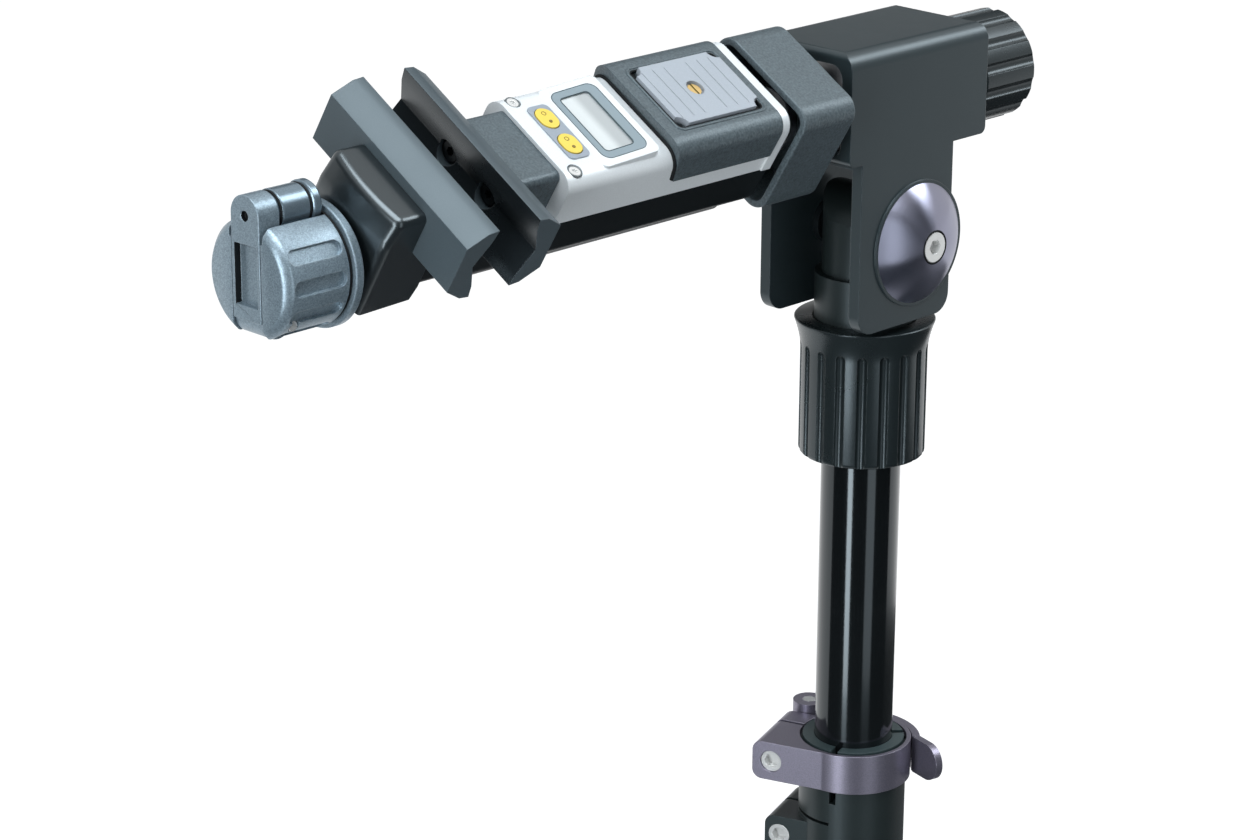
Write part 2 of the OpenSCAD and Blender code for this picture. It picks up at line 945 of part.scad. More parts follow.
module lock_collar() {
    flute_pitch = 360 / lock_ribs;
    rib_r = lock_rib_d / 2;
    rim_r = lock_rim_d / 2;
    flare_z = lock_len - lock_rim_h - lock_flare_h;
    chamfer = 2;
    color("#1a1b1e")
    translate([0, 0, lock_bottom])
        difference() {
            rotate_extrude()
                polygon([[upper_r + slide_gap, 0], [rib_r - chamfer, 0], [rib_r, chamfer], [rib_r, flare_z],
                    [rim_r, lock_len - lock_rim_h], [rim_r, lock_len - 1], [rim_r - 1, lock_len],
                    [lock_seat_r, lock_len], [lock_seat_r, lock_seat_z - lock_bottom],
                    [upper_r + slide_gap, lock_seat_z - lock_bottom]]);
            for (i = [0 : lock_ribs - 1])
                rotate([0, 0, i * flute_pitch])
                    translate([rib_r + lock_flute_r / 4, 0, -eps]) {
                        cylinder(r = lock_flute_r, h = flare_z - lock_flute_r);
                        translate([0, 0, flare_z - lock_flute_r])
                            sphere(r = lock_flute_r);
                    }
        }
}

// Side view of the bracket, about the fold pivot
module bracket_side() {
    up = box_top - pivot_z;
    low = box_bottom - pivot_z;
    corner = 3;
    translate([(bracket_rear - bracket_front) / 2, (up + low) / 2])
        round_rect(bracket_rear + bracket_front, up - low, corner);
    translate([(cheek_rear - cheek_front) / 2, (low + corner - cheek_drop) / 2])
        round_rect(cheek_rear + cheek_front, low + corner + cheek_drop, cheek_r);
    translate([-cheek_front, 0])
        square([cheek_rear + cheek_front, low + corner]);
}

module bracket() {
    up = box_top - cheek_bottom;
    boss_t = 0.8;
    color("#1c1d20")
    difference() {
        union() {
            intersection() {
                translate([0, 0, pivot_z])
                    slab_y(2 * bracket_w)
                        bracket_side();
                bar_x(-2 * bracket_front, 2 * bracket_rear, bracket_hw, cheek_bottom - 2 * bracket_edge_r,
                    box_top, bracket_edge_r);
            }
            translate([0, 0, pivot_z])
                rod_y(dome_r + 1.5, -bracket_hw - boss_t, bracket_hw + boss_t);
        }
        box([-2 * bracket_front, -cheek_in, cheek_bottom - up],
            [2 * bracket_rear, cheek_in, box_bottom + 3 - floor_t]);
        bar_x(-2 * bracket_front, bracket_rear - rear_wall, hollow_hw, hollow_bottom, hollow_top, hollow_r);
        translate([0, 0, arm_z])
            rod_x(rear_bush_r + run_gap, 0, 2 * bracket_rear);
        translate([0, 0, pivot_z])
            rod_y(pivot_bolt_d / 2 + run_gap, -bracket_w, bracket_w);
    }
}

module dome_caps() {
    base_y = bracket_hw + 0.8;
    color("#5d5a68")
    for (side = [0, 180])
        translate([0, 0, pivot_z])
            rotate([90, 0, side])
                difference() {
                    intersection() {
                        translate([0, 0, base_y + dome_h - dome_ball])
                            sphere(r = dome_ball);
                        translate([0, 0, base_y])
                            cylinder(r = dome_r, h = dome_h);
                    }
                    cylinder(r = pivot_bolt_d / 2 + run_gap, h = 2 * bracket_w);
                    translate([0, 0, base_y + dome_h - bolt_head_h])
                        cylinder(r = bolt_head_d / 2 + 0.4, h = 2 * bolt_head_h);
                }
}

module pivot_bolt() {
    end_y = bracket_hw + 0.8 + dome_h - 0.6;
    seat_y = bracket_hw + 0.8 + dome_h - bolt_head_h;
    color("#d4d7db")
    translate([0, 0, pivot_z])
        difference() {
            union() {
                rod_y(pivot_bolt_d / 2, -end_y, end_y);
                rod_y(bolt_head_d / 2, -end_y, -seat_y);
                rod_y(bolt_head_d / 2, seat_y, end_y);
            }
            rotate([90, 0, 0])
                hex_socket(end_y);
            rotate([-90, 0, 0])
                hex_socket(end_y);
        }
}

module pivot_washers() {
    color("#8b8e93")
    for (side = [-1, 1])
        translate([0, side * (post_r + cheek_in) / 2, pivot_z])
            difference() {
                rod_y(washer_r, -(cheek_in - post_r) / 2 + slide_gap, (cheek_in - post_r) / 2 - run_gap);
                rod_y(pivot_bolt_d / 2 + run_gap, -cheek_in, cheek_in);
            }
}

module spindle_bearings() {
    color("#3d3f43")
    difference() {
        union() {
            bar_x(-bearing_front, bearing_len - bearing_front, hollow_hw - run_gap, hollow_bottom + run_gap,
                hollow_top - run_gap, hollow_r);
            translate([0, 0, arm_z])
                rod_x(rear_bush_r, bracket_rear - rear_wall, bracket_rear);
        }
        translate([0, 0, arm_z])
            rod_x(spindle_r + run_gap, -2 * bracket_front, 2 * bracket_rear);
    }
}

module rear_knob() {
    flute_pitch = 360 / rear_knob_flutes;
    knob_r = rear_knob_d / 2;
    chamfer = 3;
    neck_h = 6;
    color("#232427")
    translate([rear_knob_x, 0, arm_z])
        rotate([0, 90, 0])
            difference() {
                intersection() {
                    rotate_extrude()
                        polygon([[0, 0], [knob_r - 2, 0], [knob_r - 2, neck_h - 2], [knob_r, neck_h],
                            [knob_r, rear_knob_len - chamfer], [knob_r - chamfer, rear_knob_len],
                            [0, rear_knob_len]]);
                    union() {
                        cylinder(r = 2 * knob_r, h = neck_h);
                        linear_extrude(2 * rear_knob_len)
                            difference() {
                                circle(r = knob_r + 1);
                                for (i = [0 : rear_knob_flutes - 1])
                                    rotate([0, 0, i * flute_pitch])
                                        translate([knob_r + rear_flute_r / 2, 0])
                                            circle(r = rear_flute_r);
                            }
                    }
                }
                translate([0, 0, -eps])
                    cylinder(r = spindle_r + run_gap, h = spindle_end - rear_knob_x + slide_gap);
            }
}

// Arm

module spindle() {
    color("#9a9da3")
    in_arm() {
        rod_x(spindle_head_r, -yoke_rear - yoke_floor - spindle_head_t, -yoke_rear - yoke_floor);
        rod_x(spindle_r, -yoke_rear - yoke_floor, spindle_end);
        rod_x(collar_r, -yoke_rear, -bearing_front - slide_gap);
    }
}

module yoke() {
    color("#2a2b2e")
    in_arm()
        difference() {
            translate([0, -yoke_shift, 0])
                bar_x(-yoke_front, -yoke_rear, yoke_hw, -yoke_drop, yoke_top, yoke_r);
            translate([0, -yoke_shift, 0])
                bar_x(-2 * yoke_front, -yoke_rear - yoke_floor, yoke_hw - yoke_wall, yoke_wall - yoke_drop,
                    yoke_top - yoke_wall, yoke_r - yoke_wall);
            rod_x(spindle_r + run_gap, -2 * yoke_front, 0);
        }
}

module tray() {
    color("#18191b")
    in_arm()
        difference() {
            intersection() {
                bar_x(-body_front, -body_rear, body_hw, -tray_drop, seam_z + 2 * tray_r, tray_r);
                box([-body_front, -body_hw, -tray_drop], [-body_rear, body_hw, seam_z]);
            }
            box([shell_t - body_front, shell_t - body_hw, shell_t - tray_drop],
                [eps - body_rear, body_hw - shell_t, seam_z + eps]);
            bar_x(-2 * body_front, eps - keel_rear, keel_hw + run_gap, -2 * tray_drop, keel_top + run_gap,
                keel_t);
        }
}

module keel() {
    color("#121314")
    in_arm() {
        difference() {
            bar_x(-keel_front, -keel_rear, keel_hw, -keel_drop, keel_top, keel_r);
            bar_x(-2 * keel_front, -keel_rear - keel_t, keel_hw - keel_t, keel_t - keel_drop,
                keel_top - keel_t, keel_r - keel_t);
        }
        difference() {
            box([-nut_front, -nut_hw, keel_t - keel_drop - eps],
                [nut_len - nut_front, nut_hw, keel_top - keel_t - 2 * beam_gap - beam_t]);
            translate([0, 0, -screw_drop])
                rod_x(screw_r + run_gap, -2 * nut_front, 0);
        }
    }
}

// Stretched disc on the keypad, as wide as a button and its margin
module button_shape(margin) {
    r = button_w / 2 + margin;
    side = (button_len - button_w) / 2;
    square([2 * r, 2 * side], center = true);
    for (y = [-side, side])
        translate([0, y])
            circle(r = r);
}

// The two places of the buttons
module at_buttons(sides) {
    for (side = sides)
        translate([-keypad_mid, side * button_pitch / 2, 0])
            children();
}

// Frame of the tilted display panel, about the middle of its top
module in_panel() {
    in_arm()
        translate([-bezel_front - panel_margin, 0, body_top])
            rotate([0, -panel_tilt, 0])
                translate([panel_len / 2, 0, 0])
                    children();
}

module housing() {
    color("#c3c6c8")
    difference() {
        union() {
            in_arm()
                intersection() {
                    bar_x(-body_front, -body_rear, body_hw, seam_z - 2 * housing_r, body_top, housing_r);
                    box([-body_front, -body_hw, seam_z], [-body_rear, body_hw, body_top]);
                }
            in_panel()
                translate([0, 0, -panel_depth])
                    linear_extrude(panel_depth)
                        round_rect(panel_len, bezel_w + 2 * panel_margin, panel_r);
        }
        in_arm() {
            box([shell_t - body_front, shell_t - body_hw, seam_z - eps],
                [eps - body_rear, body_hw - shell_t, roof_z - housing_r + shell_t]);
            bar_x(shell_t - body_front, eps - body_rear, body_hw - shell_t, seam_z - housing_r, roof_z,
                housing_r - shell_t);
            at_buttons([-1, 1])
                linear_extrude(2 * body_top)
                    button_shape(slide_gap);
            housing_screw_places() {
                cylinder(r = 1.5 + run_gap, h = 4 * shell_t, center = true);
                cylinder(r = 3.3, h = 4 * shell_t);
            }
        }
        in_panel()
            translate([0, 0, -bezel_t])
                linear_extrude(2 * bezel_t)
                    round_rect(bezel_len + 2 * run_gap, bezel_w + 2 * run_gap, bezel_r);
    }
}

// The seats of the housing's corner screws, sunk in the housing's top
module housing_screw_places() {
    for (side = [-1, 1])
        translate([screw_inset - body_front, side * (body_hw - screw_inset), body_top - 1.6])
            children();
}

module housing_screws() {
    color("#8f9297")
    in_arm()
        housing_screw_places()
            difference() {
                union() {
                    translate([0, 0, -2 * shell_t])
                        cylinder(r = 1.5, h = 2 * shell_t);
                    cylinder(r = 2.6, h = 1.2);
                }
                translate([0, 0, 0.6])
                    cylinder(r = 1.2, h = 1, $fn = 6);
            }
}

module bezel() {
    color("#6f7a86")
    in_panel()
        translate([0, 0, -bezel_t])
            linear_extrude(bezel_t + run_gap)
                difference() {
                    round_rect(bezel_len, bezel_w, bezel_r);
                    translate([-window_shift, 0])
                        round_rect(window_len, window_w, 2);
                }
}

module display() {
    color("#aab0a8")
    in_panel()
        translate([-window_shift, 0, -bezel_t])
            linear_extrude(display_t)
                round_rect(window_len - 2 * run_gap, window_w - 2 * run_gap, 2);
}

module keypad() {
    color("#8d9298")
    in_arm()
        difference() {
            translate([-keypad_mid, 0, body_top])
                linear_extrude(keypad_t)
                    round_rect(keypad_len, keypad_w, 2.5);
            at_buttons([-1, 1])
                linear_extrude(2 * body_top)
                    button_shape(slide_gap);
        }
}

module button(side) {
    color("#e2a91c")
    in_arm()
        at_buttons([side]) {
            translate([0, 0, roof_z - slide_gap])
                linear_extrude(shell_t + slide_gap + keypad_t + button_rise)
                    button_shape(0);
            translate([0, 0, roof_z - slide_gap - 1])
                linear_extrude(1)
                    button_shape(button_flange);
        }
}

module saddle() {
    color("#242528")
    in_arm()
        difference() {
            intersection() {
                bar_x(-saddle_front, -saddle_rear, body_hw + saddle_side_t, saddle_bottom - 2 * housing_r,
                    saddle_top, housing_r);
                slab_y(4 * body_hw)
                    polygon([[saddle_slant - saddle_front, saddle_bottom], [-saddle_front, saddle_top],
                        [-saddle_rear, saddle_top], [-saddle_rear, saddle_bottom]]);
            }
            bar_x(-2 * saddle_front, 0, body_hw + run_gap, saddle_bottom - 4 * housing_r, body_top + run_gap,
                housing_r);
            translate([-door_mid, 0, door_z])
                linear_extrude(saddle_top)
                    round_rect(door_len + 2 * slide_gap, door_w + 2 * slide_gap, 2);
            translate([-door_mid, 0, 0])
                cylinder(r = coin_shank_r + run_gap, h = saddle_top);
        }
}

module battery_door() {
    groove_z = door_z + door_t - 0.6;
    color("#8e949c")
    in_arm()
        translate([-door_mid, 0, 0])
            difference() {
                translate([0, 0, door_z])
                    linear_extrude(door_t)
                        difference() {
                            round_rect(door_len, door_w, 2);
                            for (x = [-1, 1], y = [-1, 1])
                                translate([x * door_len / 2, y * door_w / 2])
                                    circle(r = door_notch_r);
                        }
                for (side = [-1, 1], step = [0.42, 0.72])
                    translate([side * step * door_len / 2 - door_groove_w / 2, -0.42 * door_w, groove_z])
                        cube([door_groove_w, 0.84 * door_w, door_t]);
                cylinder(r = coin_shank_r + run_gap, h = 2 * saddle_top);
                translate([0, 0, door_z + door_t - 1.2])
                    cylinder(r = coin_r + run_gap, h = door_t);
            }
}

module coin_screw() {
    head_z = door_z + door_t - 1.2 + run_gap;
    slot_t = 1;
    color("#c39a4a")
    in_arm()
        translate([-door_mid, 0, 0])
            difference() {
                union() {
                    translate([0, 0, body_top + 1])
                        cylinder(r = coin_shank_r, h = head_z - body_top - 1);
                    translate([0, 0, head_z])
                        cylinder(r = coin_r, h = 1.4);
                }
                translate([-slot_t / 2, -2 * coin_r, head_z + 0.6])
                    cube([slot_t, 4 * coin_r, 2]);
            }
}

module load_cell() {
    cell_rear = yoke_rear + yoke_floor + spindle_head_t;
    color("#b4b7bb")
    in_arm()
        difference() {
            box([-cell_front, -cell_hw, keel_top], [-cell_rear, cell_hw, keel_top + cell_h]);
            translate([-(cell_front + cell_rear) / 2, 0, keel_top + cell_h / 2])
                rod_y(cell_h / 2 - 2.5, -2 * cell_hw, 2 * cell_hw);
        }
}

// Clamp

// Side view of a jaw: back face at X = 0, lips towards +X
module jaw_side() {
    half = jaw_h / 2;
    bed = jaw_depth - jaw_groove;
    lip = jaw_depth - lip_step;
    polygon([[0, -jaw_waist], [jaw_slope, 0.6 - half], [jaw_depth, -half], [lip, -jaw_waist], [bed, 0],
        [lip, jaw_waist], [jaw_depth, half], [jaw_slope, half - 0.6], [0, jaw_waist]]);
}

// The places of a jaw's two screws, with their heads towards +Z of each place
module jaw_screw_places(back) {
    for (side = [-1, 1])
        translate([back, side * jaw_screw_pitch / 2, jaw_z])
            rotate([0, 90, 0])
                children();
}

// One jaw with its counterbored screw holes, seen with its back at X = 0
module jaw() {
    head_z = jaw_depth - jaw_groove - jaw_head_h - jaw_head_clear;
    difference() {
        translate([0, 0, jaw_z])
            slab_y(jaw_len)
                jaw_side();
        jaw_screw_places(0) {
            cylinder(d = jaw_screw_d + 2 * run_gap, h = 2 * jaw_depth, center = true);
            translate([0, 0, head_z])
                cylinder(r = jaw_head_r + jaw_head_clear, h = jaw_depth);
        }
    }
}

// The screws of one jaw, with their seats as in the jaw
module jaw_screws() {
    head_z = jaw_depth - jaw_groove - jaw_head_h - jaw_head_clear;
    jaw_screw_places(0)
        difference() {
            union() {
                translate([0, 0, -jaw_screw_len])
                    cylinder(d = jaw_screw_d, h = jaw_screw_len + head_z);
                translate([0, 0, head_z])
                    cylinder(r = jaw_head_r, h = jaw_head_h);
            }
            translate([0, 0, head_z + jaw_head_h - 2])
                cylinder(r = 2, h = 3, $fn = 6);
        }
}

// Frame of the fixed jaw, whose lips face -X
module at_fixed_jaw() {
    in_arm()
        translate([-jaw_back, 0, 0])
            mirror([1, 0, 0])
                children();
}

// Frame of the moving jaw, whose lips face +X
module at_moving_jaw() {
    in_arm()
        translate([-moving_back, 0, 0])
            children();
}

module fixed_jaw() {
    color("#45484d")
    at_fixed_jaw()
        jaw();
}

module moving_jaw() {
    color("#45484d")
    at_moving_jaw()
        jaw();
}

module fixed_jaw_screws() {
    color("#2b2c2f")
    at_fixed_jaw()
        jaw_screws();
}

module moving_jaw_screws() {
    color("#2b2c2f")
    at_moving_jaw()
        jaw_screws();
}

module jaw_block() {
    edge = 3;
    color("#1f2023")
    in_arm()
        difference() {
            bar_x(-jaw_back, -body_front, jaw_block_hw, keel_top, jaw_block_top, edge);
            translate([-jaw_back, 0, 0])
                mirror([1, 0, 0])
                    jaw_screw_places(0)
                        cylinder(d = jaw_screw_d + 2 * run_gap, h = 2 * jaw_screw_len + 1, center = true);
        }
}

// Side view of the carriage in the arm's frame
module carriage_side() {
    top = jaw_z + 7;
    bottom = 0.5 - keel_drop;
    jaw_low = jaw_z - jaw_h / 2 - slide_gap;
    polygon([[-moving_back, top], [-moving_back - carriage_top, top], [-carriage_back, top - 12.5],
        [-carriage_back, bottom], [-carriage_heel - 1.5, bottom + 1.5], [-carriage_heel, bottom + 8],
        [-carriage_heel, jaw_low], [-moving_back, jaw_low]]);
}

module carriage() {
    color("#0f1011")
    in_arm()
        difference() {
            union() {
                intersection() {
                    slab_y(4 * carriage_hw)
                        carriage_side();
                    bar_x(-2 * carriage_back, 0, carriage_hw, -keel_drop, jaw_z + 7, 5);
                }
                translate([0, 0, -screw_drop])
                    rod_x(carriage_boss_r, -carriage_back - carriage_boss, -carriage_back);
            }
            translate([0, 0, -screw_drop])
                rod_x(screw_r + run_gap, -2 * carriage_back, 0);
            translate([-moving_back, 0, 0])
                jaw_screw_places(0)
                    cylinder(d = jaw_screw_d + 2 * run_gap, h = 2 * jaw_screw_len + 1, center = true);
        }
}

module guide_beam() {
    low = keel_t + beam_gap - keel_drop;
    high = keel_top - keel_t - beam_gap;
    color("#2e3033")
    in_arm()
        difference() {
            bar_x(-carriage_heel, -beam_rear, beam_hw, low, high, beam_r);
            box([-2 * carriage_heel, beam_t - beam_hw, low - eps], [0, beam_hw - beam_t, high - beam_t]);
        }
}

module lead_screw() {
    color("#a7aab0")
    in_crank()
        rod_x(screw_r, knob_x - 12, -beam_rear);
}

// Crank

// One shallow flute in the knob, with round ends, at the top of its side
module knob_flute() {
    half = (knob_flute_len - knob_flute_w) / 2;
    translate([knob_x - knob_len / 2, 0, knob_d / 2 - knob_flute_depth])
        linear_extrude(knob_flute_depth + 1) {
            square([2 * half, knob_flute_w], center = true);
            for (x = [-half, half])
                translate([x, 0])
                    circle(d = knob_flute_w);
        }
}

module crank_knob() {
    knob_r = knob_d / 2;
    edge = 2;
    color("#6b7680")
    in_crank()
        difference() {
            rotate([0, -90, 0])
                translate([0, 0, -flange_x])
                    rotate_extrude()
                        polygon([[0, 0], [flange_d / 2 - 1, 0], [flange_d / 2, 1], [flange_d / 2, flange_t],
                            [knob_r, flange_t], [knob_r, flange_t + knob_len - edge],
                            [knob_r - edge, flange_t + knob_len], [0, flange_t + knob_len]]);
            rod_x(screw_r + run_gap, knob_x - 12, 0);
            box([knob_end - eps, -crank_slot / 2, -crank_pin_drop],
                [crank_in + 0.4, crank_slot / 2, knob_d]);
            box([knob_end - eps, -trough_w / 2, trough_z], [knob_x - 0.2, trough_w / 2, knob_d]);
            translate([crank_pin_x, 0, -crank_pin_drop])
                rod_y(crank_sweep_r, -crank_slot / 2, crank_slot / 2);
            box([knob_end - eps, -crank_slot / 2, -knob_d],
                [crank_pin_x + crank_sweep_r, crank_slot / 2, -crank_pin_drop]);
            translate([crank_pin_x, 0, -crank_pin_drop])
                rod_y(crank_pin_d / 2 + run_gap, -knob_d, knob_d);
            for (i = [1 : knob_flutes - 1])
                rotate([360 / knob_flutes * i, 0, 0])
                    knob_flute();
        }
}

module crank_pin() {
    side = sqrt(knob_d * knob_d / 4 - crank_pin_drop * crank_pin_drop) - 0.8;
    color("#c4c7cc")
    in_crank()
        translate([crank_pin_x, 0, -crank_pin_drop])
            rod_y(crank_pin_d / 2, -side, side);
}

module crank_arm() {
    color("#66717c")
    in_crank()
        difference() {
            union() {
                translate([crank_out, 0, 0])
                    rotate([90, 0, 90])
                        linear_extrude(crank_t) {
                            translate([-crank_w / 2, -crank_pin_drop])
                                square([crank_w, crank_pin_drop + grip_rise]);
                            translate([0, grip_rise])
                                circle(d = crank_w);
                        }
                translate([crank_pin_x, 0, -crank_pin_drop])
                    rod_y(crank_knuckle_r, -crank_w / 2, crank_w / 2);
                translate([0, 0, grip_rise])
                    rod_x(grip_axle_r, crank_in - eps, grip_x + grip_len - 1);
            }
            translate([crank_pin_x, 0, -crank_pin_drop])
                rod_y(crank_pin_d / 2 + run_gap, -crank_w, crank_w);
            translate([0, 0, grip_rise])
                rod_x(2, crank_out - eps, crank_out + 2);
            box([crank_out - eps, -pocket_w / 2, 2 - pocket_len / 2],
                [crank_out + pocket_depth, pocket_w / 2, 2 + pocket_len / 2]);
        }
}

module grip() {
    ring = 0.6;
    color("#5f6a75")
    in_crank()
        translate([0, 0, grip_rise])
            difference() {
                union() {
                    rod_x(grip_d / 2, grip_x, grip_x + grip_len);
                    rod_x(grip_d / 2 + ring, grip_x, grip_x + 3);
                }
                rod_x(grip_axle_r + run_gap, grip_x - eps, grip_x + grip_len - 0.8);
            }
}

leg_hub();
lower_tube();
tube_plug();
leg_bolts();
clamp_ring();
clamp_bolts();
mast_bush();
clamp_lever();
lever_pin();
spreader();
strut_pins();
leg_tube(0);  // leg_tube_a
leg_tube(1);  // leg_tube_b
leg_tube(2);  // leg_tube_c
knuckle(0);  // knuckle_a
knuckle(1);  // knuckle_b
knuckle(2);  // knuckle_c
foot(0);  // foot_a
foot(1);  // foot_b
foot(2);  // foot_c
strut(0);  // strut_a
strut(1);  // strut_b
strut(2);  // strut_c
mast_glide();
upper_tube();
neck();
lock_collar();
bracket();
pivot_bolt();
dome_caps();
pivot_washers();
spindle_bearings();
rear_knob();
spindle();
yoke();
tray();
keel();
housing();
display();
bezel();
keypad();
housing_screws();
saddle();
load_cell();
jaw_block();
fixed_jaw();
fixed_jaw_screws();
button(1);  // button_left
button(-1);  // button_right
battery_door();
coin_screw();
carriage();
moving_jaw();
moving_jaw_screws();
guide_beam();
crank_knob();
lead_screw();
crank_pin();
crank_arm();
grip();
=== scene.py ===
import json
import math

import bmesh
import bpy
from mathutils import Matrix, Vector


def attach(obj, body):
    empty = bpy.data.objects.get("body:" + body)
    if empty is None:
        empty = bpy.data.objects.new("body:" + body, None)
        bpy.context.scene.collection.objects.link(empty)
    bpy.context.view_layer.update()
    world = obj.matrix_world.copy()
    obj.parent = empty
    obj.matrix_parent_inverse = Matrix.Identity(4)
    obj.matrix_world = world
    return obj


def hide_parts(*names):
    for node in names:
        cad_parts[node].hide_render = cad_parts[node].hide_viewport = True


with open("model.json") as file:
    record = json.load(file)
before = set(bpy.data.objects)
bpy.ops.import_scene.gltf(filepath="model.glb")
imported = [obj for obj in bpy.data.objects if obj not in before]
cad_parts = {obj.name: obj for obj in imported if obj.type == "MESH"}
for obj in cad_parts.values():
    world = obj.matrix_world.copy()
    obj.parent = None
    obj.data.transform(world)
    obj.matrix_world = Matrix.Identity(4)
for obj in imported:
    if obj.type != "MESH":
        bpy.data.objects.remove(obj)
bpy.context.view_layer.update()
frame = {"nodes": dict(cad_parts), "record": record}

# The stand's frame is in metres: origin on the floor under the mast, Z up, the arm towards -X.
# Pieces are drawn in millimetres, most of them in the arm's own frame, which is raised and tilted.

MM = 0.001
ARM_HEIGHT, ARM_TILT = 1.077, math.radians(31)
WORLD = Matrix.Identity(4)
ARM = Matrix.Translation((0, 0, ARM_HEIGHT)) @ Matrix.Rotation(ARM_TILT, 4, "X")

bodies = frame["record"]["behaviour"]["bodies"]
NODE_BODY = {node: body for body, nodes in bodies.items() for node in nodes}


# Node trees


def add(tree, kind, **settings):
    node = tree.nodes.new(kind)
    for key, value in settings.items():
        setattr(node, key, value)
    return node


def emptied(owner):
    """The node tree of a material or world, without its first nodes."""
    owner.use_nodes = True
    owner.node_tree.nodes.clear()
    return owner.node_tree


def plug(tree, socket, value):
    """Link an input to another node's socket, or set it to a plain value."""
    if isinstance(value, bpy.types.NodeSocket):
        tree.links.new(value, socket)
    else:
        socket.default_value = value


def feed(tree, node, **values):
    """Set or link a node's inputs by name, with _ for a blank."""
    for key, value in values.items():
        name = key.replace("_", " ")
        plug(tree, next(s for s in node.inputs if s.name == name and s.enabled), value)
    return node


def calc(tree, operation, *values):
    node = add(tree, "ShaderNodeMath", operation=operation)
    for socket, value in zip(node.inputs, values):
        plug(tree, socket, value)
    return node.outputs[0]


def swing(tree, value, amount):
    """How far a value lies from a half, times an amount."""
    return calc(tree, "MULTIPLY", calc(tree, "SUBTRACT", value, 0.5), amount)


def noise(tree, place, scale, detail, **settings):
    node = add(tree, "ShaderNodeTexNoise")
    return feed(tree, node, Vector=place, Scale=scale, Detail=detail, **settings).outputs["Fac"]


def eased(tree, value, start, end, **settings):
    """Nought to one, or To Min to To Max, as a value runs from start to end."""
    node = add(tree, "ShaderNodeMapRange", interpolation_type="SMOOTHSTEP")
    return feed(tree, node, Value=value, From_Min=start, From_Max=end, **settings).outputs["Result"]


def mixed(tree, factor, first, second):
    """A blend of two colours, which a mix node takes at its sockets 6 and 7 and gives at 2."""
    node = add(tree, "ShaderNodeMix", data_type="RGBA")
    for key, value in (("Factor", factor), (6, first), (7, second)):
        plug(tree, node.inputs[key], value)
    return node.outputs[2]


def shader_group(name, inputs, outputs):
    group = bpy.data.node_groups.new(name, "ShaderNodeTree")
    for in_out, sockets in (("INPUT", inputs), ("OUTPUT", outputs)):
        for label, kind in sockets.items():
            group.interface.new_socket(label, in_out=in_out, socket_type="NodeSocket" + kind)
    return group, add(group, "NodeGroupInput").outputs, add(group, "NodeGroupOutput").inputs


MOTTLE_SCALE, HANDS_SCALE, RUB_HIGHLIGHT_SCALE, FLAKE_SCALE = 38.0, 14.0, 220.0, 2300.0


def skin_group():
    """Moulded or sprayed skin: fine grain to a height, broad mottle to the colour, handling to the gloss."""
    amounts = ("Roughness", "Grain", "Pebble", "Mottle", "Speckle", "Handling")
    group, given, made = shader_group(
        "skin_grain",
        {"Vector": "Vector", "Colour": "Color", **dict.fromkeys(amounts, "Float")},
        {"Colour": "Color", "Roughness": "Float", "Height": "Float"},
    )
    place = given["Vector"]
    fine = noise(group, place, given["Grain"], 3.0)
    cells = add(group, "ShaderNodeTexVoronoi", feature="SMOOTH_F1")
    feed(group, cells, Vector=place, Scale=given["Grain"])
    broad = noise(group, place, MOTTLE_SCALE, 5.0)
    hands = noise(group, place, HANDS_SCALE, 6.0, Roughness=0.65)
    pebbled = calc(group, "MULTIPLY", cells.outputs["Distance"], given["Pebble"])
    group.links.new(calc(group, "ADD", fine, pebbled), made["Height"])
    shade = swing(group, broad, given["Mottle"])
    speck = swing(group, fine, given["Speckle"])
    level = calc(group, "ADD", calc(group, "ADD", shade, speck), 1.0)
    tinted = feed(group, add(group, "ShaderNodeHueSaturation"), Value=level, Color=given["Colour"])
    group.links.new(tinted.outputs["Color"], made["Colour"])
    total = calc(group, "ADD", swing(group, hands, given["Handling"]), given["Roughness"])
    total.node.use_clamp = True
    group.links.new(total, made["Roughness"])
    return group


def rub_and_highlight_group():
    """Where edges are lighter, for wear and as a painted highlight: the angle between the face and a rounded
    edge, broken up by noise.
    """
    group, given, made = shader_group(
        "edge_rub", {"Vector": "Vector", "Radius": "Float", "Amount": "Float"}, {"Mask": "Float"}
    )
    rounded = feed(group, add(group, "ShaderNodeBevel", samples=4), Radius=given["Radius"])
    facing = add(group, "ShaderNodeVectorMath", operation="DOT_PRODUCT")
    group.links.new(rounded.outputs["Normal"], facing.inputs[0])
    group.links.new(add(group, "ShaderNodeNewGeometry").outputs["Normal"], facing.inputs[1])
    edge = eased(group, facing.outputs["Value"], 0.99, 0.80)
    patches = eased(group, noise(group, given["Vector"], RUB_HIGHLIGHT_SCALE, 4.0), 0.42, 0.62)
    rubbed_and_lit = calc(group, "MULTIPLY", edge, patches)
    group.links.new(calc(group, "MULTIPLY", rubbed_and_lit, given["Amount"]), made["Mask"])
    return group


def turned_group():
    """Fine rings left by a lathe round an axis; Plane masks out the axis itself."""
    group, given, made = shader_group(
        "turned_rings", {"Vector": "Vector", "Plane": "Vector", "Pitch": "Float"}, {"Height": "Float"}
    )
    flat = add(group, "ShaderNodeVectorMath", operation="MULTIPLY")
    group.links.new(given["Vector"], flat.inputs[0])
    group.links.new(given["Plane"], flat.inputs[1])
    reach = add(group, "ShaderNodeVectorMath", operation="LENGTH")
    group.links.new(flat.outputs[0], reach.inputs[0])
    turns = calc(group, "MULTIPLY", reach.outputs["Value"], given["Pitch"])
    cut = add(group, "ShaderNodeTexNoise", noise_dimensions="1D")
    feed(group, cut, W=turns, Scale=1.0, Detail=2.0)
    group.links.new(cut.outputs["Fac"], made["Height"])
    return group


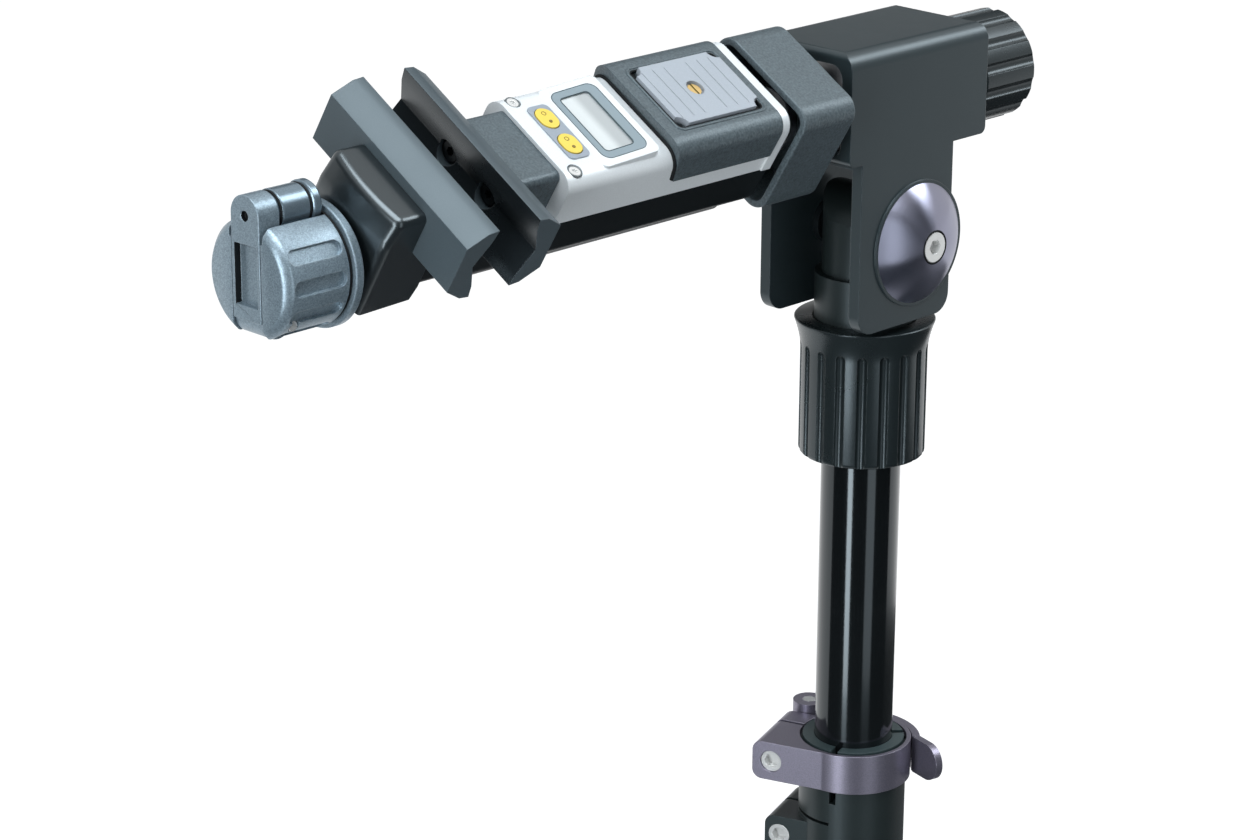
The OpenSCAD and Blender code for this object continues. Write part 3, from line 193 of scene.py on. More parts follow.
def flake_group():
    """Metal flake in paint: each small cell takes its own brightness."""
    group, given, made = shader_group(
        "paint_flake",
        {"Vector": "Vector", "Colour": "Color", "Sparkle": "Float"},
        {"Colour": "Color", "Glint": "Float"},
    )
    cells = feed(group, add(group, "ShaderNodeTexVoronoi"), Vector=given["Vector"], Scale=FLAKE_SCALE)
    pick = add(group, "ShaderNodeSeparateColor")
    group.links.new(cells.outputs["Color"], pick.inputs[0])
    level = calc(group, "ADD", swing(group, pick.outputs[0], given["Sparkle"]), 1.0)
    lit = feed(group, add(group, "ShaderNodeHueSaturation"), Value=level, Color=given["Colour"])
    group.links.new(lit.outputs["Color"], made["Colour"])
    group.links.new(pick.outputs[1], made["Glint"])
    return group


SKIN = skin_group()
RUB_AND_HIGHLIGHT = rub_and_highlight_group()
TURNED = turned_group()
FLAKE = flake_group()
RUB_HIGHLIGHT_RADIUS = 1.2 * MM


def grouped(tree, group, **values):
    return feed(tree, add(tree, "ShaderNodeGroup", node_tree=group), **values)


def finish(
    name, colour, roughness, metallic=0.0, specular=0.5, tint=(1, 1, 1), grain=1500.0, depth=0.02,
    pebble=0.3, mottle=0.12, speckle=0.06, handling=0.14, coat=0.0, coat_roughness=0.08, flake=0.0,
    rub_highlight=None, rub_amount=0.5, turned=None, pitch=5000.0, centre=(0, 0, 0), anisotropic=0.0, edge=0.4,
):
    """One surface of the stand.

    In mm: depth is that of the grain, and edge is the radius that sharp edges seem to have. The colour given
    for lighter edges stands for wear and a painted highlight; turned is the plane of lathe rings round
    centre, tint the colour of the sheen."""
    material = bpy.data.materials.new(name)
    tree = emptied(material)
    place = add(tree, "ShaderNodeTexCoord").outputs["Object"]
    here = feed(tree, add(tree, "ShaderNodeMapping"), Vector=place, Location=[-c * MM for c in centre])
    here = here.outputs["Vector"]
    shader = add(tree, "ShaderNodeBsdfPrincipled")
    feed(tree, shader, Metallic=metallic, Specular_IOR_Level=specular, Specular_Tint=(*tint, 1))
    feed(tree, shader, Coat_Weight=coat, Coat_Roughness=coat_roughness)
    skin = grouped(tree, SKIN, Vector=here, Colour=(*colour, 1), Roughness=roughness, Grain=grain)
    feed(tree, skin, Pebble=pebble, Mottle=mottle, Speckle=speckle, Handling=handling)
    shown, height = skin.outputs["Colour"], skin.outputs["Height"]
    if flake:
        flaked = grouped(tree, FLAKE, Vector=here, Colour=shown, Sparkle=flake)
        shown = flaked.outputs["Colour"]
        height = calc(tree, "MULTIPLY_ADD", flaked.outputs["Glint"], 0.5, height)
    if turned:
        rings = grouped(tree, TURNED, Vector=here, Plane=turned, Pitch=pitch)
        height = calc(tree, "ADD", rings.outputs["Height"], height)
        if anisotropic:
            axis = "XYZ"[list(turned).index(0)]
            tangent = add(tree, "ShaderNodeTangent", direction_type="RADIAL", axis=axis)
            feed(tree, shader, Anisotropic=anisotropic, Anisotropic_Rotation=0.25)
            feed(tree, shader, Tangent=tangent.outputs["Tangent"])
    # Edges lighter for wear, and with a painted highlight.
    if rub_highlight:
        worn_and_lit = grouped(tree, RUB_AND_HIGHLIGHT, Vector=here, Radius=RUB_HIGHLIGHT_RADIUS, Amount=rub_amount)
        shown = mixed(tree, worn_and_lit.outputs["Mask"], shown, (*rub_highlight, 1))
    bump = feed(tree, add(tree, "ShaderNodeBump"), Strength=1.0, Distance=depth * MM, Height=height)
    if edge:
        soft = feed(tree, add(tree, "ShaderNodeBevel", samples=4), Radius=edge * MM)
        tree.links.new(soft.outputs["Normal"], bump.inputs["Normal"])
    feed(tree, shader, Base_Color=shown, Roughness=skin.outputs["Roughness"], Normal=bump.outputs["Normal"])
    tree.links.new(shader.outputs["BSDF"], add(tree, "ShaderNodeOutputMaterial").inputs["Surface"])
    return material


# Pieces made in Blender, and materials for the CAD nodes


def dress(mesh, *materials):
    mesh.materials.clear()
    for material in materials:
        mesh.materials.append(material)


def paint(material, *names):
    """Give CAD nodes a material through their slots."""
    for name in names:
        dress(frame["nodes"][name].data, material)


def smooth(mesh):
    mesh.polygons.foreach_set("use_smooth", [True] * len(mesh.polygons))


def mesh_from(name, shape):
    """The mesh of a bmesh, which is then done with."""
    mesh = bpy.data.meshes.new(name)
    shape.to_mesh(mesh)
    shape.free()
    return mesh


def walls(shape, rows, closed=True):
    """Faces from each row of points to the next."""
    faces = []
    for low, high in zip(rows, rows[1:]):
        count = len(low)
        for i in range(count if closed else count - 1):
            j = (i + 1) % count
            faces.append(shape.faces.new((low[i], low[j], high[j], high[i])))
    return faces


def cut_away(obj, cutter):
    cut = obj.modifiers.new(cutter.name, "BOOLEAN")
    cut.object = cutter
    cut.solver = "EXACT"


def round_edges(obj, width, angle, segments):
    """Round edges sharper than an angle in degrees, to a width in mm."""
    bevel = obj.modifiers.new("rounding", "BEVEL")
    bevel.limit_method = "ANGLE"
    bevel.angle_limit = math.radians(angle)
    bevel.width = width * MM
    bevel.segments = segments
    return bevel


def even_shading(obj):
    even = obj.modifiers.new("even_shading", "WEIGHTED_NORMAL")
    even.keep_sharp = True
    even.weight = 80


def baked(obj):
    """Put an object's modifiers into its mesh."""
    bpy.context.view_layer.update()
    graph = bpy.context.evaluated_depsgraph_get()
    made = obj.evaluated_get(graph)
    mesh = bpy.data.meshes.new_from_object(made, preserve_all_data_layers=True, depsgraph=graph)
    obj.modifiers.clear()
    obj.data = mesh
    mesh.name = obj.name
    return obj


def piece(name, mesh):
    obj = bpy.data.objects.new(name, mesh)
    bpy.context.scene.collection.objects.link(obj)
    return obj


def from_arm(point):
    """From millimetres in the arm's own frame to metres in the stand's."""
    return ARM @ (Vector(point) * MM)


def in_arm(point):
    """From metres in the stand's frame to millimetres in the arm's own."""
    return ARM.inverted() @ point / MM


def stands_for(obj, node):
    """The piece hides a CAD node and moves with its body."""
    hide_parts(node)
    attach(obj, NODE_BODY[node])


def trim(obj, body):
    """A piece with no CAD node of its own."""
    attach(obj, body)


SAME_POINT, SAME_FACE = 0.002 * MM, math.radians(0.6)


def softened(
    node, width, material, segments=3, angle=28, reshape=None, extra=None, cutter=None, ink=None
):
    """The CAD node's own shape, merged, with its sharp edges rounded to width in mm.

    reshape moves its points and extra adds faces, both in the arm's frame; cutter is taken out of it;
    ink gives a second material to the faces that its test picks."""
    shape = bmesh.new()
    shape.from_mesh(frame["nodes"][node].data)
    bmesh.ops.remove_doubles(shape, verts=shape.verts, dist=SAME_POINT)
    bmesh.ops.dissolve_limit(
        shape, angle_limit=SAME_FACE, verts=shape.verts, edges=shape.edges, delimit={"NORMAL"}
    )
    if reshape:
        for vert in shape.verts:
            vert.co = from_arm(reshape(in_arm(vert.co)))
    if extra:
        extra(shape)
    mesh = mesh_from(node + "_soft", shape)
    smooth(mesh)
    obj = piece(node + "_soft", mesh)
    if cutter:
        cut_away(obj, cutter)
    bevel = round_edges(obj, width, angle, segments)
    bevel.use_clamp_overlap = True
    bevel.miter_outer = "MITER_ARC"
    even_shading(obj)
    baked(obj)
    if cutter:
        bpy.data.objects.remove(cutter)
    dress(obj.data, material)
    if ink:
        second, test = ink
        obj.data.materials.append(second)
        for face in obj.data.polygons:
            face.material_index = 1 if test(face.center / MM, face.normal) else 0
    stands_for(obj, node)


def arch(half, top, corner, foot, steps=10):
    """Outline across the arm, from its near foot over the top to its far foot: (y, z) in mm."""
    points = [(-half, foot)]
    for side, start in ((-1, 180), (1, 90)):
        for i in range(steps + 1):
            turn = math.radians(start - 90 * i / steps)
            points.append(
                (side * (half - corner) + corner * math.cos(turn), top - corner + corner * math.sin(turn))
            )
    points.append((half, foot))
    return points


def round_loop(half_x, half_y, corner, centre=(0, 0), z=0.0, steps=8):
    """A closed rounded rectangle: (x, y, z) in mm."""
    points = []
    for quarter, (sx, sy) in enumerate(((1, 1), (-1, 1), (-1, -1), (1, -1))):
        for i in range(steps + 1):
            turn = math.radians(90 * quarter + 90 * i / steps)
            x = centre[0] + sx * (half_x - corner) + corner * math.cos(turn)
            y = centre[1] + sy * (half_y - corner) + corner * math.sin(turn)
            points.append((x, y, z))
    return points


def ring_loop(radius, x, y, z, steps=72):
    """A closed circle round an axis along X: (x, y, z) in mm."""
    turns = [2 * math.pi * i / steps for i in range(steps)]
    return [(x, y + radius * math.cos(t), z + radius * math.sin(t)) for t in turns]


def lathe(name, profile, steps=144, centre=(0.0, 0.0)):
    """A closed shape turned round an axis along Z, from (radius, height) pairs in mm."""
    shape = bmesh.new()
    rows = []
    for radius, height in profile:
        turns = [2 * math.pi * i / steps for i in range(steps if radius else 1)]
        loop = [(centre[0] + radius * math.cos(t), centre[1] + radius * math.sin(t), height) for t in turns]
        rows.append([shape.verts.new(point) for point in loop])
    for low, high in zip(rows, rows[1:] if profile[0][0] == 0 else rows[1:] + rows[:1]):
        for i in range(steps):
            j = (i + 1) % steps
            corners = [low[i % len(low)], low[j % len(low)], high[j % len(high)], high[i % len(high)]]
            shape.faces.new(list(dict.fromkeys(corners)))
    return solid(name, shape)


def prism(name, loop, low, high, place):
    """A closed block on an outline of (x, y, z) points, between two heights in mm, in the frame of place."""
    shape = bmesh.new()
    rows = [[shape.verts.new(place @ Vector((x, y, z))) for x, y, _ in loop] for z in (low, high)]
    walls(shape, rows)
    shape.faces.new(rows[0])
    shape.faces.new(rows[1])
    return solid(name, shape)


def block(name, low, high):
    """A box between two corners in mm."""
    loop = [(low[0], low[1], 0), (high[0], low[1], 0), (high[0], high[1], 0), (low[0], high[1], 0)]
    return prism(name, loop, low[2], high[2], WORLD)


def rod(name, radius, half, place):
    """A round bar along Y in mm, at a place."""
    obj = lathe(name, [(0, -half), (radius, -half), (radius, half), (0, half)], 64)
    obj.data.transform(Matrix.Translation(place) @ Matrix.Rotation(math.radians(90), 4, "X"))
    return obj


def solid(name, shape):
    bmesh.ops.recalc_face_normals(shape, faces=shape.faces)
    return piece(name, mesh_from(name, shape))


def carved(obj, *cutters):
    """Take solids out of a piece."""
    for cutter in cutters:
        cut_away(obj, cutter)
    baked(obj)
    for cutter in cutters:
        bpy.data.objects.remove(cutter)


def placed(obj, node, place, material):
    """Set a piece made in mm into the stand, in one material, with its sharp edges kept."""
    mesh = obj.data
    mesh.transform(place @ Matrix.Scale(MM, 4))
    smooth(mesh)
    mesh.set_sharp_from_angle(angle=math.radians(32))
    dress(mesh, material)
    stands_for(obj, node)


# Geometry Nodes


def geometry_tree(name, inputs):
    tree = bpy.data.node_groups.new(name, "GeometryNodeTree")
    for label, kind in inputs:
        tree.interface.new_socket(label, in_out="INPUT", socket_type="NodeSocket" + kind)
    tree.interface.new_socket("Geometry", in_out="OUTPUT", socket_type="NodeSocketGeometry")
    return tree, add(tree, "NodeGroupInput").outputs, add(tree, "NodeGroupOutput").inputs


def realized(tree, geometry):
    return feed(tree, add(tree, "GeometryNodeRealizeInstances"), Geometry=geometry).outputs[0]


def without(tree, body, *cuts):
    node = add(tree, "GeometryNodeMeshBoolean", operation="DIFFERENCE", solver="EXACT")
    tree.links.new(body, node.inputs["Mesh 1"])
    for cut in cuts:
        tree.links.new(cut, node.inputs["Mesh 2"])
    return node.outputs["Mesh"]


def closed_tree(tree, geometry, given, made):
    """Close a tree: real geometry, in its one finish."""
    node = add(tree, "GeometryNodeSetMaterial")
    dressed = feed(tree, node, Geometry=realized(tree, geometry), Material=given["Finish"])
    tree.links.new(dressed.outputs[0], made["Geometry"])
    return tree


def grown(obj, tree, **values):
    """Run a Geometry Nodes tree on an object and keep the plain mesh that comes out."""
    modifier = obj.modifiers.new(tree.name, "NODES")
    modifier.node_group = tree
    for socket in tree.interface.items_tree:
        key = socket.name.replace(" ", "_")
        if socket.in_out == "INPUT" and key in values:
            modifier[socket.identifier] = values[key]
    return baked(obj)


def seam_tree():
    """A round bead that follows a path of edges: a rim, a printed line, or a strip of painted shade along a
    seam.
    """
    tree, given, made = geometry_tree(
        "bead_along_path", [("Path", "Geometry"), ("Bead radius", "Float"), ("Finish", "Material")]
    )
    path = add(tree, "GeometryNodeMeshToCurve")
    tree.links.new(given["Path"], path.inputs["Mesh"])
    section = add(tree, "GeometryNodeCurvePrimitiveCircle")
    feed(tree, section, Resolution=10, Radius=given["Bead radius"])
    bead = add(tree, "GeometryNodeCurveToMesh")
    tree.links.new(path.outputs["Curve"], bead.inputs["Curve"])
    tree.links.new(section.outputs["Curve"], bead.inputs["Profile Curve"])
    bead.inputs["Fill Caps"].default_value = True
    return closed_tree(tree, bead.outputs["Mesh"], given, made)


def door_tree():
    """The battery door: a plate with notched corners, a sunk bore and two sets of scored lines."""
    sizes = ["Length", "Width", "Thickness", "Notch", "Bore", "Bore depth", "Bore shift", "Shank"]
    sizes += ["First line", "Line step", "Line length", "Line width", "Line depth"]
    inputs = [("Blank", "Geometry")] + [(label, "Float") for label in sizes]
    tree, given, made = geometry_tree("scored_door", inputs + [("Lines", "Int"), ("Finish", "Material")])

    def vector(x, y, z):
        return feed(tree, add(tree, "ShaderNodeCombineXYZ"), X=x, Y=y, Z=z).outputs[0]

    def moved(geometry, offset):
        node = add(tree, "GeometryNodeTransform")
        return feed(tree, node, Geometry=geometry, Translation=offset).outputs[0]

    def post(radius, depth):
        node = add(tree, "GeometryNodeMeshCylinder")
        return feed(tree, node, Vertices=64, Radius=radius, Depth=depth).outputs["Mesh"]

    def spread(points, shape):
        node = add(tree, "GeometryNodeInstanceOnPoints")
        return realized(tree, feed(tree, node, Points=points, Instance=shape).outputs[0])

    top = calc(tree, "MULTIPLY", given["Thickness"], 0.5)
    deep = calc(tree, "MULTIPLY", given["Thickness"], 4.0)
    plate = add(tree, "GeometryNodeMeshCube")
    feed(tree, plate, Size=vector(given["Length"], given["Width"], given["Thickness"]))
    corners = add(tree, "GeometryNodeMeshGrid")
    feed(tree, corners, Size_X=given["Length"], Size_Y=given["Width"], Vertices_X=2, Vertices_Y=2)
    score = add(tree, "GeometryNodeMeshCube")
    feed(tree, score, Size=vector(given["Line width"], given["Line length"], given["Line depth"]))
    cuts = [spread(corners.outputs["Mesh"], post(given["Notch"], deep))]
    sunk = calc(tree, "MULTIPLY", given["Bore depth"], 2.0)
    cuts.append(moved(post(given["Bore"], sunk), vector(given["Bore shift"], 0.0, top)))
    cuts.append(moved(post(given["Shank"], deep), vector(given["Bore shift"], 0.0, 0.0)))
    for side in (-1.0, 1.0):
        first = calc(tree, "MULTIPLY_ADD", given["First line"], side, given["Bore shift"])
        step = calc(tree, "MULTIPLY", given["Line step"], side)
        row = add(tree, "GeometryNodeMeshLine")
        feed(tree, row, Count=given["Lines"], Offset=vector(step, 0.0, 0.0))
        feed(tree, row, Start_Location=vector(first, 0.0, top))
        cuts.append(spread(row.outputs[0], score.outputs["Mesh"]))
    return closed_tree(tree, without(tree, plate.outputs["Mesh"], *cuts), given, made)


def cuts_tree():
    """A turned body with one cut repeated round its axis, Z: the flutes of a knob or collar."""
    inputs = [("Body", "Geometry"), ("Cut", "Object"), ("Cuts", "Int"), ("First", "Float"), ("Step", "Float")]
    tree, given, made = geometry_tree("cuts_round_axis", inputs + [("Finish", "Material")])
    cut = add(tree, "GeometryNodeObjectInfo")
    tree.links.new(given["Cut"], cut.inputs["Object"])
    row = feed(tree, add(tree, "GeometryNodeMeshLine"), Count=given["Cuts"], Offset=(0, 0, 0))
    index = add(tree, "GeometryNodeInputIndex").outputs[0]
    turn = calc(tree, "MULTIPLY_ADD", index, given["Step"], given["First"])
    about = add(tree, "FunctionNodeEulerToRotation")
    tree.links.new(feed(tree, add(tree, "ShaderNodeCombineXYZ"), Z=turn).outputs[0], about.inputs[0])
    copies = add(tree, "GeometryNodeInstanceOnPoints")
    feed(tree, copies, Points=row.outputs[0], Instance=cut.outputs["Geometry"], Rotation=about.outputs[0])
    flutes = realized(tree, copies.outputs[0])
    return closed_tree(tree, without(tree, given["Body"], flutes), given, made)


BEAD = seam_tree()
DOOR = door_tree()
CUTS = cuts_tree()


def fluted(body, cut, count, first, step, material):
    """Repeat a cut round a turned body, from the first angle on, in degrees."""
    turns = {"First": math.radians(first), "Step": math.radians(step)}
    grown(body, CUTS, Cut=cut, Cuts=count, Finish=material, **turns)
    bpy.data.objects.remove(cut)


def bead(name, body, points, radius, material, slot, place=ARM, closed=True):
    """A bead of radius mm along points in mm, which place turns and moves into the stand's frame."""
    mesh = bpy.data.meshes.new(name)
    count = len(points)
    edges = [(i, i + 1) for i in range(count - 1)] + ([(count - 1, 0)] if closed else [])
    mesh.from_pydata([place @ (Vector(point) * MM) for point in points], edges, [])
    obj = grown(piece(name, mesh), BEAD, Bead_radius=radius * MM, Finish=material)
    smooth(obj.data)
    trim(obj, body)


# Surfaces

COOL = (0.80, 0.93, 1.0)

tube_lacquer = finish(
    "tube_lacquer", (0.004, 0.005, 0.0055), 0.12, specular=0.5, tint=COOL, grain=900, depth=0.002, mottle=0.3,
    handling=0.06, coat=0.2, coat_roughness=0.05,
)
# Where a colour is given for edges, they are lighter, for wear and as a painted highlight.
bracket_enamel = finish(
    "bracket_enamel", (0.017, 0.025, 0.028), 0.32, specular=0.70, tint=COOL, grain=2600, depth=0.005,
    mottle=0.22, speckle=0.2, rub_highlight=(0.05, 0.057, 0.06), rub_amount=0.4, edge=0.5,
)
hub_enamel = finish(
    "hub_enamel", (0.012, 0.017, 0.017), 0.40, specular=0.5, tint=COOL, grain=2600, depth=0.006, mottle=0.2,
    speckle=0.2, rub_highlight=(0.05, 0.055, 0.055), rub_amount=0.4,
)
clamp_anodised = finish(
    "clamp_anodised", (0.235, 0.220, 0.278), 0.36, metallic=0.8, grain=2200, depth=0.004, pebble=0.6,
    speckle=0.7, mottle=0.12, rub_highlight=(0.27, 0.26, 0.30), rub_amount=0.35,
)
cap_anodised = finish(
    "cap_anodised", (0.33, 0.335, 0.43), 0.28, metallic=1.0, grain=4000, depth=0.0001, speckle=0.1,
    turned=(1, 0, 1), pitch=9000.0, centre=(0, 0, 1016.5), anisotropic=0.85, edge=0, handling=0.04,
)
bolt_zinc = finish(
    "bolt_zinc", (0.80, 0.80, 0.79), 0.22, metallic=0.6, grain=3000, depth=0.0005, speckle=0.08, mottle=0.12,
    edge=0.25,
)
inner_steel = finish("inner_steel", (0.42, 0.42, 0.43), 0.34, metallic=1.0, grain=2500, depth=0.003)
cell_aluminium = finish("cell_aluminium", (0.50, 0.51, 0.52), 0.38, metallic=1.0, grain=2200, depth=0.004)
tray_plastic = finish(
    "tray_plastic", (0.006, 0.008, 0.009), 0.36, specular=0.18, tint=COOL, grain=2400, depth=0.005,
    mottle=0.15, speckle=0.1,
)
# Painted shade, for gaps, grooves, holes and wells.
seam_shadow = finish(
    "seam_shadow", (0.004, 0.005, 0.006), 0.6, specular=0.2, grain=2400, depth=0.005, mottle=0.2, edge=0,
)
collar_plastic = finish(
    "collar_plastic", (0.009, 0.013, 0.014), 0.27, specular=0.6, tint=COOL, grain=1800, depth=0.004,
    mottle=0.2, rub_highlight=(0.05, 0.055, 0.055), rub_amount=0.3, edge=0.5,
)
grained_plastic = finish(
    "grained_plastic", (0.058, 0.075, 0.084), 0.42, specular=0.75, tint=COOL, grain=1050, depth=0.09,
    pebble=0.8, speckle=2.0, mottle=0.12, edge=0.6,
)
carriage_gloss = finish(
    "carriage_gloss", (0.006, 0.008, 0.009), 0.29, specular=1.0, tint=COOL, grain=700, depth=0.002,
    mottle=0.2, handling=0.08, coat=0.12, coat_roughness=0.06, edge=0.4,
)
jaw_pad = finish(
    "jaw_pad", (0.054, 0.071, 0.081), 0.42, specular=0.62, tint=COOL, grain=2400, depth=0.006, speckle=0.3,
    mottle=0.14, rub_highlight=(0.11, 0.125, 0.135), rub_amount=0.3, edge=0.5,
)
foot_rubber = finish("foot_rubber", (0.015, 0.015, 0.016), 0.7, specular=0.3, grain=1500, depth=0.02)
bush_plastic = finish("bush_plastic", (0.032, 0.048, 0.050), 0.45, tint=COOL, grain=2000, depth=0.006)
housing_silver = finish(
    "housing_silver", (0.70, 0.725, 0.74), 0.36, metallic=0.12, specular=0.4, grain=5000, depth=0.001,
    speckle=0.06, mottle=0.03, flake=0.05, handling=0.08, coat=0.1, edge=0.6,
)
bezel_film = finish(
    "bezel_film", (0.22, 0.275, 0.305), 0.3, grain=3000, depth=0.001, mottle=0.06, coat=0.3, edge=0.2
)
keypad_film = finish(
    "keypad_film", (0.27, 0.305, 0.35), 0.42, grain=4500, depth=0.003, mottle=0.06, speckle=0.1, edge=0.2
)
button_rubber = finish(
    "button_rubber", (0.74, 0.55, 0.085), 0.42, grain=3000, depth=0.003, mottle=0.06, speckle=0.06, edge=0.3
)
door_plastic = finish(
    "door_plastic", (0.34, 0.37, 0.41), 0.44, specular=0.45, grain=1600, depth=0.01, pebble=0.5, mottle=0.06,
    speckle=0.2, edge=0.7,
)
coin_brass = finish(
    "coin_brass", (0.66, 0.47, 0.20), 0.38, metallic=1.0, grain=3500, depth=0.003, speckle=0.2, mottle=0.2,
    edge=0.2,
)
crank_paint = finish(
    "crank_paint", (0.225, 0.290, 0.338), 0.36, metallic=0.6, specular=0.5, grain=1800, depth=0.006,
    speckle=0.25, mottle=0.1, flake=0.45, rub_highlight=(0.42, 0.48, 0.52), rub_amount=0.4, edge=0.5,
)
grip_paint = finish(
    "grip_paint", (0.200, 0.262, 0.310), 0.26, metallic=0.7, grain=2200, depth=0.003, speckle=0.15,
    mottle=0.1, flake=0.15, edge=0.4,
)

# Along X, in m: where the display's painted shade fades in to full grey.
DISPLAY_SHADE_BAND = (-178.5 * MM, -173.5 * MM)


def display_surface():
    """The display behind its glass: painted grey shade over its upper part, running out into the paler field
    below it.
    """
    material = finish(
        "display_glass", (0.60, 0.625, 0.625), 0.3, grain=900, depth=0.0002, mottle=0.05, coat=1.0,
        coat_roughness=0.03, edge=0,
    )
    tree = material.node_tree
    place = next(n for n in tree.nodes if n.bl_idname == "ShaderNodeTexCoord").outputs["Object"]
    along = add(tree, "ShaderNodeSeparateXYZ")
    tree.links.new(place, along.inputs[0])
    band = eased(tree, along.outputs["X"], *DISPLAY_SHADE_BAND)
    shader = next(n for n in tree.nodes if n.bl_idname == "ShaderNodeBsdfPrincipled")
    skin = shader.inputs["Base Color"].links[0].from_socket
    feed(tree, shader, Base_Color=mixed(tree, band, skin, (0.38, 0.40, 0.405, 1)))
    return material


display_glass = display_surface()
line_ink = finish("line_ink", (0.035, 0.06, 0.07), 0.4, grain=3000, depth=0.001, edge=0)
# Painted shade for the scoops round the housing's corner screws.
scoop_shade = finish("scoop_shade", (0.11, 0.125, 0.13), 0.4, grain=3000, depth=0.002, edge=0)
# Print for the button marks, and painted shade in the coin screw's slot.
mark_ink = finish("mark_ink", (0.20, 0.135, 0.02), 0.5, grain=3000, depth=0.001, edge=0)
# Painted shade on the jaws' clamping faces.
jaw_rubber = finish(
    "jaw_rubber", (0.010, 0.013, 0.015), 0.26, specular=0.5, tint=COOL, grain=2500, depth=0.004, mottle=0.2,
    edge=0.5,
)

paint(tube_lacquer, "upper_tube", "lower_tube", "leg_tube_a", "leg_tube_b", "leg_tube_c")
paint(hub_enamel, "spreader", "strut_a", "strut_b", "strut_c", "tube_plug")
paint(hub_enamel, "knuckle_a", "knuckle_b", "knuckle_c")
paint(cap_anodised, "dome_caps")
paint(
    bolt_zinc, "leg_bolts", "clamp_bolts", "pivot_bolt", "housing_screws", "strut_pins", "lever_pin",
    "crank_pin",
)
paint(tray_plastic, "fixed_jaw_screws", "moving_jaw_screws", "mast_glide", "pivot_washers")
paint(tray_plastic, "keel", "guide_beam")
paint(inner_steel, "spindle", "lead_screw", "spindle_bearings")
paint(cell_aluminium, "load_cell")
paint(foot_rubber, "foot_a", "foot_b", "foot_c")
paint(display_glass, "display")

softened("leg_hub", 0.8, hub_enamel)
softened("bracket", 2.2, bracket_enamel, segments=4)
softened("neck", 0.8, hub_enamel)
softened("clamp_ring", 0.7, clamp_anodised)
softened("clamp_lever", 0.7, clamp_anodised)
softened("mast_bush", 0.5, bush_plastic)
softened("rear_knob", 0.5, collar_plastic)
softened("yoke", 1.8, grained_plastic, segments=4)
softened("jaw_block", 2.6, grained_plastic, segments=5)
softened("tray", 0.8, tray_plastic)
softened("bezel", 0.2, bezel_film)
softened("keypad", 0.2, keypad_film)


# Scale housing, with the raised rim at its rear end


def housing_rim(shape):
    front, rear = -93.9, -88.8
    outer, inner = arch(26.8, 28.4, 8.0, 1.8), arch(24.0, 22.6, 5.6, 1.8)
    rows = [
        [shape.verts.new(from_arm((x, y, z))) for y, z in outline]
        for outline, x in ((outer, front), (outer, rear), (inner, rear), (inner, front))
    ]
    faces = walls(shape, rows + rows[:1], closed=False)
    for foot in (0, -1):
        faces.append(shape.faces.new([row[foot] for row in rows]))
    bmesh.ops.recalc_face_normals(shape, faces=faces)


softened("housing", 0.6, housing_silver, extra=housing_rim)


# Buttons, lower than their solids, as the photograph shows them


def pressed_flat(point):
    keypad, kept = 24.1, 0.35
    rise = point.z - keypad
    return Vector((point.x, point.y, keypad + kept * rise)) if rise > 0 else point


softened("button_left", 0.2, button_rubber, reshape=pressed_flat)
softened("button_right", 0.2, button_rubber, reshape=pressed_flat)


# Battery saddle, its door, the rim round it, and painted shade in the gaps round them

DOOR_MID, DOOR_HALF, DOOR_SIDE = -122.9, 23.5, 16.6
COIN_X = -124.25


def door_outline(margin, corner, z=0.0):
    """The door's outline, let out by a margin."""
    return round_loop(DOOR_HALF + margin, DOOR_SIDE + margin, corner, (DOOR_MID, 0), z)


def saddle():
    recess = prism("saddle_recess", door_outline(0.6, 2.5), 27.45, 32.0, ARM @ Matrix.Scale(MM, 4))
    softened("saddle", 1.0, grained_plastic, cutter=recess)
    front, top, lean = -154.6, 29.0, 0.243
    edge = [(front + (top - z) * lean, y, z) for y, z in arch(26.3, 23.8, 7.2, 11.0)]
    # Painted shade in the gap under the saddle's front edge and in the gap round the door; the rim is raised.
    bead("saddle_gap", "arm", edge, 0.9, seam_shadow, "black_plastic", closed=False)
    bead("door_gap", "arm", door_outline(0.45, 2.4, 28.6), 0.5, seam_shadow, "black_plastic")
    bead("door_rim", "arm", door_outline(1.7, 3.4, 28.9), 0.6, grained_plastic, "grained_black")


def battery_door():
    door = grown(
        piece("battery_door_scored", bpy.data.meshes.new("door_blank")),
        DOOR,
        Length=2 * DOOR_HALF * MM,
        Width=2 * DOOR_SIDE * MM,
        Thickness=3.0 * MM,
        Notch=4.2 * MM,
        Bore=3.9 * MM,
        Bore_depth=1.8 * MM,
        Shank=2.1 * MM,
        First_line=6.2 * MM,
        Line_step=6.3 * MM,
        Line_length=27.0 * MM,
        Line_width=0.35 * MM,
        Line_depth=0.7 * MM,
        Bore_shift=(COIN_X - DOOR_MID) * MM,
        Lines=3,
        Finish=door_plastic,
    )
    door.data.transform(ARM @ Matrix.Translation(Vector((DOOR_MID, 0, 29.1)) * MM))
    round_edges(door, 0.15, 40, 2)
    baked(door)
    stands_for(door, "battery_door")


def sunk_coin(point):
    """The coin screw's head, narrower and lower than its solid, so that it lies in the door's bore."""
    solid_foot, foot, narrow, low = 29.35, 28.95, 0.86, 0.5
    if point.z < solid_foot - 0.05:
        return point
    x, y = COIN_X + (point.x - COIN_X) * narrow, point.y * narrow
    return Vector((x, y, foot + (point.z - solid_foot) * low))


def coin_slot_shade(centre, normal):
    """The slot across the coin screw's head, painted dark as shade."""
    return abs(centre.x - COIN_X) < 0.6 and in_arm(centre * MM).z > 29.1


